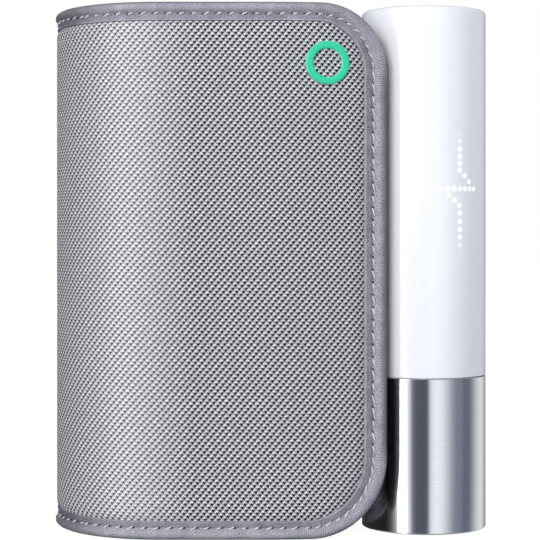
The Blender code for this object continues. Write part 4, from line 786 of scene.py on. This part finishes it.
def edge_distance(along, up, low):
    """Distance from each point of the strip to its outline, shorter where the tape is wider."""
    distance = np.minimum(up - low, HEIGHT - up)
    ends = ((INNER_END_CORNER, INNER_END_CORNER, along, 0.0),
            (FLAP_LOW_CORNER, FLAP_TOP_CORNER, CUFF_LENGTH - along, END_WIDER))
    for low_corner, top_corner, reach, wider in ends:
        distance = np.minimum(distance, reach / (1 + wider))
        for corner, rise in ((low_corner, up - low), (top_corner, HEIGHT - up)):
            x, y = corner - reach, corner - rise
            inside = (x > 0) & (y > 0)
            away = np.hypot(x, y)
            real = (corner - away) / (1 + wider * np.maximum(x, 0) / np.maximum(away, MM))
            distance = np.where(inside, np.minimum(distance, real), distance)
    return distance


LAYER_GAP = 0.00015             # from the middle to each layer
CLOTH_INSET = 0.0012
CLOTH_STEP = 0.0016
CLOTH_ROWS = 72
FLAP_CORNER_STEPS = 24
INNER_CORNER_STEPS = 10
EDGE_ROWS_SHARE = 0.6           # share of the rows' spacing that is closer towards the edges
UNDER_TAPE = 0.0008             # the shoulder starts this far under the tape
SEAM_SINK = 0.0001


def smooth(share):
    """Eases a share in and out."""
    return share * share * (3 - 2 * share)


def edge_rows(count):
    """Shares from 0 to 1 that lie closer at both ends."""
    return (1 - np.cos(np.linspace(0, math.pi, count))) / 2


def two_faced(name, along, up, outer, inner, finish):
    """A closed sheet on the wound strip, between its outer and its inner face."""
    rings = np.concatenate([wound(along, outer, up), wound(along, inner, up)[:, ::-1]], 1)
    flat = np.stack([along, up], 2)
    return loft(name, rings, np.concatenate([flat, flat[:, ::-1], flat[:, :1]], 1), finish)


def cloth(name, start, end, low, thin, side, finish):
    """Half the strip's thickness, from thin inside to the full half where it isn't sewn flat."""
    first = start + (CLOTH_INSET if start == 0.0 else 0.0)
    last = end - (CLOTH_INSET if end == CUFF_LENGTH else 0.0)
    places = list(np.linspace(first, last, max(3, int((last - first) / CLOTH_STEP))))
    if end == CUFF_LENGTH:
        bend = np.linspace(0, math.pi / 2, FLAP_CORNER_STEPS)
        radius = FLAP_LOW_CORNER - CLOTH_INSET
        places = [p for p in places if p < end - FLAP_LOW_CORNER]
        places += list(end - FLAP_LOW_CORNER + radius * np.sin(bend))
    if start == 0.0:
        bend = np.linspace(math.pi / 2, 0, INNER_CORNER_STEPS)
        radius = INNER_END_CORNER - CLOTH_INSET
        places = list(INNER_END_CORNER - radius * np.sin(bend)) + [p for p in places if p > INNER_END_CORNER]
    along = np.array(places)
    low_lost = height_lost(along, CLOTH_INSET, INNER_END_CORNER, FLAP_LOW_CORNER)
    top_lost = height_lost(along, CLOTH_INSET, INNER_END_CORNER, FLAP_TOP_CORNER)
    share = EDGE_ROWS_SHARE * edge_rows(CLOTH_ROWS) + (1 - EDGE_ROWS_SHARE) * np.linspace(0, 1, CLOTH_ROWS)
    up = (low + low_lost)[:, None] + share[None, :] * (HEIGHT - low - low_lost - top_lost)[:, None]
    along = np.broadcast_to(along[:, None], up.shape)
    rise = smooth(np.clip((edge_distance(along, up, low) - TAPE_WIDTH + UNDER_TAPE) / SHOULDER, 0, 1))
    outer = (SEAM_HALF - SEAM_SINK) + rise * (CUFF_HALF - SEAM_HALF)
    inner = LAYER_GAP + rise * (thin - LAYER_GAP)
    return two_faced(name, along, up, side * outer, side * inner, finish)


# %% [markdown]
# ## The tape round the outline
# The tape is swept round the strip's outline. Its section has a folded hem, a flat strip, a groove where
# the stitching pulls it down, and a full rounded edge.

# %% The tape's section and its path
TAPE_LINING = [(0.70, 0.0), (0.75, 0.55), (0.95, 0.92)]
HEM = (5.05, 0.93)              # where the tape's folded end meets the cloth
TAPE_INSIDE = [(depth, -out) for depth, out in [HEM, *TAPE_LINING[:0:-1]]] + TAPE_LINING + [HEM]
STITCH_INSET = 0.0034
TAPE_STEP = 0.00075
PULL_WIDTH = 0.0006             # of the groove that the stitches pull
PULL_SHARE = 0.22
PULL_FROM = 0.00095             # only the outer face is pulled, which lies further out than this


def rounded_path(near, far, low, low_corner, top_corner):
    """Along the bottom edge from near to far, up the rounded end, and back along the top edge."""
    way = 1.0 if far > near else -1.0
    quarter = math.pi / 2
    points = []
    for corner, top in ((low_corner, False), (top_corner, True)):
        middle = far - way * corner
        straight = np.linspace(near, middle, max(2, int(abs(middle - near) / TAPE_STEP)), endpoint=False)
        turns = np.linspace(0, quarter, int(corner * quarter / TAPE_STEP), endpoint=False)
        edge, side = (HEIGHT, -1.0) if top else (low, 1.0)
        run = [(s, edge, 0.0, side) for s in straight]
        run += [(middle + way * corner * math.sin(a), edge + side * corner * (1 - math.cos(a)),
                 -way * math.sin(a), side * math.cos(a)) for a in turns]
        points.append(run)
    rise = np.linspace(low + low_corner, HEIGHT - top_corner, int((HEIGHT - low) / TAPE_STEP))
    upright = [(far, h, -way, 0.0) for h in rise]
    return np.array(points[0] + upright + points[1][::-1])


def outline(start, end, low):
    """Paths along the strip's edges: places along and up, and the way inwards from the edge."""
    if end == CUFF_LENGTH:
        return [rounded_path(start, end, low, FLAP_LOW_CORNER, FLAP_TOP_CORNER)]
    if start == 0.0:
        return [rounded_path(end, start, low, INNER_END_CORNER, INNER_END_CORNER)]
    places = np.linspace(start, end, max(2, int((end - start) / TAPE_STEP)))
    return [np.array([(s, level, 0.0, side) for s in places]) for level, side in ((low, 1.0), (HEIGHT, -1.0))]


def travelled(path):
    steps = np.hypot(np.diff(path[:, 0]), np.diff(path[:, 1]))
    return np.concatenate([[0.0], np.cumsum(steps)])


def tape(name, path, finish):
    """The folded tape along one path."""
    section = np.array(TAPE_FACE + TAPE_INSIDE) * MM
    lengths = travelled(path)
    phase = lengths / STITCH_PITCH * math.tau
    depth = np.tile(section[:, 0], (len(path), 1))
    out = np.tile(section[:, 1], (len(path), 1))
    pull = np.exp(-((depth - STITCH_INSET) / PULL_WIDTH) ** 2) * (np.abs(out) > PULL_FROM)
    out = out * (1 - PULL_SHARE * pull * (0.5 + 0.5 * np.cos(phase))[:, None])
    depth = depth * (1 + END_WIDER * np.maximum(-path[:, 2:3], 0))
    along = path[:, None, 0] + path[:, None, 2] * depth
    up = path[:, None, 1] + path[:, None, 3] * depth
    around = np.concatenate([[0.0], np.cumsum(np.hypot(*np.diff(section, axis=0).T))])
    flat = np.stack(np.broadcast_arrays(lengths[:, None], np.append(around, around[-1])), 2)
    return loft(name, wound(along, out, up), flat, finish, sharp=math.radians(60))


def merged(name, made):
    """Several meshes as one piece."""
    for other in made[1:]:
        bm = bmesh.new()
        bm.from_mesh(made[0].data)
        bm.from_mesh(other.data)
        bm.to_mesh(made[0].data)
        bm.free()
        bpy.data.objects.remove(other)
    made[0].name = name
    return made[0]


# %% [markdown]
# ## The stitches
# One line of lockstitch holds the tape. Each stitch is a short thread that dives into the cloth at both
# ends, so a small capsule stands for it, slightly turned out of the line as a real stitch is.

# %% Stitches along a path
STITCH_LENGTH = 0.0015
THREAD_RADIUS = 0.00023
THREAD_SIDES = 8
THREAD_SHARES = np.linspace(-1, 1, 7)       # where a stitch's rings lie on its half length
STITCH_SLANT = 0.00030
STITCH_OUT = 0.00138            # a stitch's ends lie this far out of the cloth's middle
STITCH_CROWN = 0.00016          # and its middle this much further
UNEVEN_TURNS = 2900.0
UNEVEN_LENGTH_SHARE = 0.16
UNEVEN_SLANT_SHARE = 0.4


def tube_faces(first, rings, around):
    """The faces of a closed tube, whose points start at first and go ring by ring."""
    faces = []
    for a in range(first, first + (rings - 1) * around, around):
        faces += [(a + k, a + (k + 1) % around, a + (k + 1) % around + around, a + k + around)
                  for k in range(around)]
    last = first + (rings - 1) * around
    return faces + [tuple(range(first, first + around))[::-1], tuple(range(last, last + around))]


def strip_mesh(name, places, faces, finish, sharp=math.radians(40)):
    """A mesh of many small closed pieces, from places along the strip, out of the cloth and up."""
    mesh = bpy.data.meshes.new(name)
    mesh.from_pydata(wound(*np.array(places).T).tolist(), [], faces)
    mesh.materials.append(finish.material)
    bm = bmesh.new()
    bm.from_mesh(mesh)
    bmesh.ops.recalc_face_normals(bm, faces=bm.faces)
    bm.to_mesh(mesh)
    bm.free()
    return finished(name, mesh, sharp)


def stitches(name, paths, finish):
    """A capsule for each stitch, on both faces of the tape."""
    places, faces = [], []
    for path in paths:
        lengths = travelled(path)
        for middle in np.arange(STITCH_PITCH / 2, lengths[-1], STITCH_PITCH):
            s, h, inward_s, inward_h = (np.interp(middle, lengths, path[:, k]) for k in range(4))
            at_end = max(-inward_s, 0)
            uneven = math.sin(middle * UNEVEN_TURNS)
            inset = STITCH_INSET * (1 + END_WIDER * at_end)
            thread = STITCH_LENGTH * (1 + END_STITCH_LONGER * at_end) * (1 + UNEVEN_LENGTH_SHARE * uneven)
            size = math.hypot(inward_s, inward_h)
            inward_s, inward_h = inward_s / size, inward_h / size
            for side in (1, -1):
                faces += tube_faces(len(places), len(THREAD_SHARES), THREAD_SIDES)
                for share in THREAD_SHARES:
                    run = share * thread / 2
                    radius = THREAD_RADIUS * math.sqrt(max(0.02, 1 - abs(share) ** 4))
                    lift = STITCH_OUT + STITCH_CROWN * (1 - share ** 2)
                    slanted = inset + share * STITCH_SLANT * (1 + UNEVEN_SLANT_SHARE * uneven)
                    for turn in math.tau * np.arange(THREAD_SIDES) / THREAD_SIDES:
                        depth = slanted + radius * math.cos(turn)
                        places.append((s + inward_s * depth + inward_h * run,
                                       side * (lift + radius * math.sin(turn)),
                                       h + inward_h * depth - inward_s * run))
    return strip_mesh(name, places, faces, finish, math.radians(80))


# %% Make the cuff
STANDS_FOR = {
    "inner": (["sleeve_cover"], ["sleeve_lining"], ["cuff_tape"]),
    "back": (["back_cover"], ["back_lining"], []),
    "side": (["side_back_cover", "side_front_cover"], ["side_back_lining", "side_front_lining"],
             ["side_back_tape_low", "side_back_tape_high", "side_front_tape_low", "side_front_tape_high"]),
    "flap": (["flap_cover"], ["flap_lining"], ["flap_tape"]),
}
SLEEVE_CLOTH = 0.0007           # the thickness of each layer of the inner length
low_bend = (CUFF_LENGTH - FLAP_LOW_CORNER - FLAP_START) / MM
end_start = low_bend + FLAP_LOW_CORNER * math.pi / 2 / MM
end_stop = end_start + (HEIGHT - LIFT - FLAP_LOW_CORNER - FLAP_TOP_CORNER) / MM
tape_length = end_stop + (FLAP_TOP_CORNER * (math.pi / 2 - 1) + CUFF_LENGTH - FLAP_START) / MM
TAPES = {
    "inner": FINISHES["edge_tape"],
    "back": tape_finish("edge_tape_back", SLEEVE_END / MM - LEFT_SIDE),
    "side": tape_finish("edge_tape_side", SIDE_START / MM - LEFT_SIDE),
    "flap": tape_finish("edge_tape_flap", FLAP_START / MM - LEFT_SIDE, tape_length, (end_start, end_stop)),
}
print("flap's tape:", [round(place, 1) for place in (low_bend, end_start, end_stop, tape_length)])
for name, start, end, first, second in LENGTHS:
    low = 0.0 if first == "base" else LIFT
    hollow = CUFF_HALF - SLEEVE_CLOTH if name == "inner" else LAYER_GAP
    paths = outline(start, end, low)
    made = {
        "cover": cloth(f"{name}_cloth", start, end, low, hollow, 1, FINISHES["woven_cover"]),
        "lining": cloth(f"{name}_loops", start, end, low, hollow, -1, FINISHES["loop_lining"]),
        "tape": merged(f"{name}_binding", [tape(f"{name}_binding_{k}", path, TAPES[name])
                                           for k, path in enumerate(paths)]),
        "thread": stitches(f"{name}_stitches", paths, FINISHES["thread"]),
    }
    for (part, piece), nodes in zip(made.items(), [*STANDS_FOR[name], []]):
        carried(piece, first, second)
        if nodes:
            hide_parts(*nodes)
        part in ("cover", "lining")
        print(piece.name, len(piece.data.vertices), "points")

# %% [markdown]
# ## The bladder
# Between the stiffener and the lining of the inner turn lies the bladder: two films welded round their rim,
# which the pump fills with air. Empty, it is a flat pillow with rounded corners. One helper makes such a pad
# from its rim: the distance to the rim says how thick it is.

# %% A pad with rounded corners
def rim_distance(along, up, span, rise, corner):
    """Distance from each point of the pad to its rounded rim."""
    x = np.minimum(along - span[0], span[1] - along)
    y = np.minimum(up - rise[0], rise[1] - up)
    round_corner = corner - np.hypot(np.maximum(corner - x, 0), np.maximum(corner - y, 0))
    return np.where((x < corner) & (y < corner), round_corner, np.minimum(x, y))


PAD_CORNER_STEPS = 9


def pad(name, span, rise, corner, middle, thickness, weld, finish):
    """A closed pad on the wound strip. Its two half thicknesses are the rim's and the middle's."""
    start, end = span
    rounded = corner * (1 - np.sin(np.linspace(math.pi / 2, 0, PAD_CORNER_STEPS)))
    places = np.concatenate([start + rounded, np.arange(start + corner, end - corner, CLOTH_STEP)[1:],
                             end - rounded[::-1]])
    reach = np.minimum(places - start, end - places)
    lost = corner - np.sqrt(np.maximum(corner ** 2 - np.maximum(corner - reach, 0) ** 2, 0))
    share = edge_rows(CLOTH_ROWS // 2)
    up = (rise[0] + lost)[:, None] + share[None, :] * (rise[1] - rise[0] - 2 * lost)[:, None]
    along = np.broadcast_to(places[:, None], up.shape)
    swell = smooth(np.clip(rim_distance(along, up, span, rise, corner) / weld, 0, 1))
    half = thickness[0] + swell * (thickness[1] - thickness[0])
    return two_faced(name, along, up, middle + half, middle - half, finish)


BLADDER_INSET = 0.0100
BLADDER_CORNER = 0.0120
BLADDER_WELD = 0.0045
BLADDER_HALF = 0.0005
BLADDER_RIM_HALF = 0.00015
STIFFENER_THICKNESS = 0.0005
bladder_out = CUFF_HALF - SLEEVE_CLOTH - STIFFENER_THICKNESS - 2 * GAP
bladder = pad("bladder", (BLADDER_INSET, SLEEVE_END - BLADDER_INSET), (BLADDER_INSET, HEIGHT - BLADDER_INSET),
              BLADDER_CORNER, bladder_out - BLADDER_HALF, (BLADDER_RIM_HALF, BLADDER_HALF), BLADDER_WELD,
              FINISHES["bladder_film"])
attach(bladder, "base")
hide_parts("air_bladder")
print("bladder:", len(bladder.data.vertices), "points")

# %% [markdown]
# ## The hook patch
# The flap's loop lining grips a patch of small plastic hooks on the inner turn. It only shows when the cuff
# is opened, and then its rows of hooks are what one sees, so each hook is a short bent stem on a thin base.

# %% The patch: base and hooks
HOOK_SIDE_MARGIN = 0.0030
HOOK_INSET = 0.0200
HOOK_PITCH = 0.0012
HOOK_RADIUS = 0.00013
HOOK_TIP_SHARE = 0.6
HOOK_BASE = 0.00012
PATCH_CORNER = 0.0025
PATCH_RIM_HALF = 0.00006
PATCH_WELD = 0.0008
HOOK_BEND = [(0.0, 0.0), (0.0, 0.20), (0.05, 0.36), (0.17, 0.45), (0.30, 0.43), (0.36, 0.33)]   # mm
patch_span = (starts["inner_front"] + HOOK_SIDE_MARGIN, starts["near_turn"] - HOOK_SIDE_MARGIN)
patch_rise = (HOOK_INSET, HEIGHT - HOOK_INSET)
patch_face = CUFF_HALF + GAP
patch = pad("hook_patch_base", patch_span, patch_rise, PATCH_CORNER, patch_face + HOOK_BASE,
            (PATCH_RIM_HALF, HOOK_BASE), PATCH_WELD, FINISHES["hook_plastic"])


def hooks(name, span, rise, finish):
    """Rows of bent stems. Every other row bends the other way, so that the loops can't slip off."""
    columns = np.arange(span[0] + HOOK_PITCH, span[1] - HOOK_PITCH, HOOK_PITCH)
    rows = np.arange(rise[0] + HOOK_PITCH, rise[1] - HOOK_PITCH, HOOK_PITCH)
    bend = np.array(HOOK_BEND) * MM
    thickness = np.linspace(1.0, HOOK_TIP_SHARE, len(bend)) * HOOK_RADIUS
    places, faces = [], []
    for row, level in enumerate(rows):
        way = 1 if row % 2 else -1
        for column in columns:
            faces += tube_faces(len(places), len(bend), 4)
            for (lean, out), radius in zip(bend, thickness):
                places += [(column + side * radius, patch_face + HOOK_BASE + out + tip * radius * 0.5,
                            level + way * lean + tip * radius)
                           for side, tip in ((-1, -1), (1, -1), (1, 1), (-1, 1))]
    return strip_mesh(name, places, faces, finish)


patch = merged("hook_patch", [patch, hooks("hooks", patch_span, patch_rise, FINISHES["hook_plastic"])])
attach(patch, "base")
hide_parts("hook_patch")
print("hook patch:", len(patch.data.vertices), "points")


# %% [markdown]
# ## The green ring
# A moulded rubber ring is bonded to the flap. Its top is rounded, and both its edges are painted paler, a
# painted highlight that gives its thin bright line; its foot is sunk in the cloth, so a dark line runs round
# it. A rounded section goes round a circle, and the circle follows the cloth's route.

# %% The ring
def ring_finish():
    """Green rubber, with a painted highlight: paler along both edges."""
    finish = Finish("green_ring", Roughness=0.38, Coat_Weight=0.25, Coat_Roughness=0.25)
    along, across = finish.flat_place()
    # painted highlight: both edges of the stroke are painted paler
    edge = ((across.math("ABSOLUTE") - 0.72) * 4.0).clipped()
    mottle = finish.noise((along, across), 1.2, 3.0)
    colour = finish.mixed(mottle, (0.018, 0.50, 0.28), (0.026, 0.60, 0.34))
    finish.put("Base Color", finish.mixed(edge * 0.7, colour, (0.12, 0.78, 0.52)))
    finish.bump(mottle, 0.00003, 0.5)
    return finish


RING_STROKE = 0.0021
RING_RISE = 0.0007
RING_SINK = 0.0004
RING_STEPS = 96
ring_low, ring_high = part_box("flap_mark")
ring_radius = (ring_high.z - ring_low.z - RING_STROKE) / 2
ring_up = (ring_high.z + ring_low.z) / 2
ring_along = CUFF_LENGTH - MARK_FROM_END
half_turn = np.linspace(0, math.pi, 13)
across_ring = RING_STROKE / 2 * np.sign(np.cos(half_turn)) * np.abs(np.cos(half_turn)) ** 0.5
out_of_cloth = CUFF_HALF + RING_RISE * np.sin(half_turn) ** 0.6
across_ring = np.append(across_ring, [-RING_STROKE / 2, RING_STROKE / 2])
out_of_cloth = np.append(out_of_cloth, [CUFF_HALF - RING_SINK] * 2)
turns = np.linspace(0, math.tau, RING_STEPS, endpoint=False)[:, None]
rings = wound(ring_along + (ring_radius + across_ring) * np.cos(turns), out_of_cloth + 0 * turns,
              ring_up + (ring_radius + across_ring) * np.sin(turns))
lap = np.linspace(0, math.tau * ring_radius, RING_STEPS + 1)[:, None]
flat = np.stack(np.broadcast_arrays(lap, np.append(across_ring, across_ring[0])), 2)
ring = loft("green_ring", rings, flat, ring_finish(), closed=True)
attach(ring, "flap")
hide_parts("flap_mark")
print("ring:", round(2 * (ring_radius + RING_STROKE / 2) / MM, 1), "mm across")


# %% [markdown]
# ## The studio
# The photograph has a plain white ground and soft light. Polished and brushed metal shows only what it
# reflects, so a round wall whose light changes along it stands round the unit, where only reflections see it.

# %% Floor, backdrop and world
BACKDROP_RADIUS = 4.0
GROUND_GREY = (0.24, 0.24, 0.24)
FLOOR_GLOW = 0.93               # lifts the floor that the camera sees to the backdrop's white
WHITE = (1.0, 1.0, 1.0)
scene = bpy.context.scene
scene.view_settings.view_transform = "Standard"
scene.world = bpy.data.worlds.new("studio")
scene.world.use_nodes = True
background = scene.world.node_tree.nodes["Background"]
background.inputs["Color"].default_value = (0.88, 0.905, 1.0, 1.0)
background.inputs["Strength"].default_value = 0.43


def glow_material(name, colour, strength):
    made = bpy.data.materials.new(name)
    made.use_nodes = True
    nodes = made.node_tree.nodes
    nodes.remove(nodes["Principled BSDF"])
    glow = nodes.new("ShaderNodeEmission")
    glow.inputs["Color"].default_value = (*colour, 1.0)
    glow.inputs["Strength"].default_value = strength
    made.node_tree.links.new(glow.outputs[0], nodes["Material Output"].inputs["Surface"])
    return made


def staged(name, points, faces, material, unseen_by):
    """An object of the studio, and the kinds of rays that don't see it."""
    mesh = bpy.data.meshes.new(name)
    mesh.from_pydata(points, [], faces)
    mesh.materials.append(material)
    made = bpy.data.objects.new(name, mesh)
    scene.collection.objects.link(made)
    for kind in unseen_by:
        setattr(made, f"visible_{kind}", False)
    return made


def wall(name, centre, radius, heights, turns, material, unseen_by):
    """An upright round wall. Turns go from the camera's side towards the right."""
    points = [(centre[0] + radius * math.sin(turn), centre[1] - radius * math.cos(turn), z)
              for turn in turns for z in heights]
    faces = [(2 * k, 2 * k + 2, 2 * k + 3, 2 * k + 1) for k in range(len(turns) - 1)]
    return staged(name, points, faces, material, unseen_by)


wall("backdrop", (0.0, 0.0), BACKDROP_RADIUS, (-1.0, 6.0), np.linspace(0, math.tau, 97),
     glow_material("backdrop_white", WHITE, 1.0), ("diffuse", "glossy", "shadow", "transmission"))
for name, level, glow, unseen_by in (("floor", 0.0, FLOOR_GLOW, ("glossy", "diffuse")),
                                     ("ground", -GAP, 0.0, ("camera", "glossy"))):
    pale = Finish(f"pale_{name}", Base_Color=GROUND_GREY, Roughness=1.0, Specular_IOR_Level=0.0,
                  Emission_Color=WHITE, Emission_Strength=glow)
    corners = [(x * BACKDROP_RADIUS, y * BACKDROP_RADIUS, 0) for x, y in ((-1, -1), (1, -1), (1, 1), (-1, 1))]
    staged(name, corners, [(0, 1, 2, 3)], pale.material, unseen_by).location.z = level

# %% The wall that reflections see, and the lights
CARD_RADIUS = 2.2
COOL = (0.94, 0.98, 1.08)
BLUE = (0.84, 0.95, 1.20)
CARD_STOPS = [                  # degrees, strength and tint
    (-180, 0.05, WHITE), (-120, 0.03, WHITE), (-100, 0.02, WHITE), (-78, 0.02, WHITE), (-67, 0.12, WHITE),
    (-55, 0.60, WHITE), (-50, 5.5, WHITE), (-39, 5.5, WHITE), (-37, 1.1, WHITE), (-31, 0.85, WHITE),
    (-26, 0.25, BLUE), (-19, 0.14, BLUE), (0, 0.12, BLUE), (3, 0.20, BLUE), (8, 0.95, COOL),
    (17, 1.15, WHITE), (28, 1.10, COOL), (41, 0.70, COOL), (50, 0.42, COOL), (58, 0.30, BLUE),
    (67, 0.28, BLUE), (76, 0.19, BLUE), (88, 0.20, BLUE), (98, 0.42, COOL), (111, 0.76, COOL),
    (127, 0.95, WHITE), (150, 0.42, WHITE), (180, 0.15, WHITE),
]
glow = glow_material("card_glow", WHITE, 1.0)
read = glow.node_tree.nodes.new("ShaderNodeVertexColor")
read.layer_name = "card_light"
glow.node_tree.links.new(read.outputs["Color"], glow.node_tree.nodes["Emission"].inputs["Color"])
cards = wall("reflection_cards", (UNIT_X, UNIT_Y), CARD_RADIUS, (-1.2, 3.0),
             [math.radians(angle) for angle, _, _ in CARD_STOPS], glow,
             ("camera", "diffuse", "shadow", "transmission"))
layer = cards.data.color_attributes.new("card_light", "FLOAT_COLOR", "POINT")
card_light = [[strength * share for share in tint] + [1.0]
              for _, strength, tint in CARD_STOPS for _ in range(2)]
layer.data.foreach_set("color", np.array(card_light, dtype=np.float32).ravel())

MIDDLE = (0.0, 0.0, 0.08)
LIGHTS = [                      # place, aim, size, power and colour
    ("key", (-0.68, -1.82, 0.50), MIDDLE, 1.0, 33, WHITE),
    ("left_side", (-1.70, -0.98, 0.50), MIDDLE, 1.0, 12, (0.90, 0.94, 1.0)),
    ("right_side", (1.75, -0.80, 0.50), MIDDLE, 1.0, 8, (0.84, 0.88, 1.0)),
    ("low_fill", (0.50, -0.62, 0.03), (0.04, 0.0, 0.05), 0.2, 0.6, (0.95, 0.96, 1.0)),
    ("back_left", (-0.90, 1.90, 0.70), MIDDLE, 1.0, 26, WHITE),
    ("back_right", (1.68, 1.10, 0.60), MIDDLE, 1.0, 8, WHITE),
]
for name, place, aim, size, power, colour in LIGHTS:
    light = bpy.data.lights.new(name, "AREA")
    light.size = size
    light.energy = power
    light.color = colour
    made = bpy.data.objects.new(name, light)
    made.location = place
    made.rotation_euler = (Vector(aim) - Vector(place)).to_track_quat("-Z", "Y").to_euler()
    made.visible_glossy = False
    scene.collection.objects.link(made)

# %% [markdown]
# ## The camera
# A long lens from half a metre, level, and a little above the cuff's middle, as in the photograph. The
# picture is framed by a small shift, so that upright lines stay upright.

# %% Camera
camera = bpy.data.objects.new("camera", bpy.data.cameras.new("camera"))
camera.data.lens = 116.3
camera.data.sensor_width = 36.0
camera.data.shift_y = -0.065
camera.location = (0.0001, -0.5155, 0.0851)
camera.rotation_euler = (math.pi / 2, 0.0, 0.0)
scene.collection.objects.link(camera)
scene.camera = camera
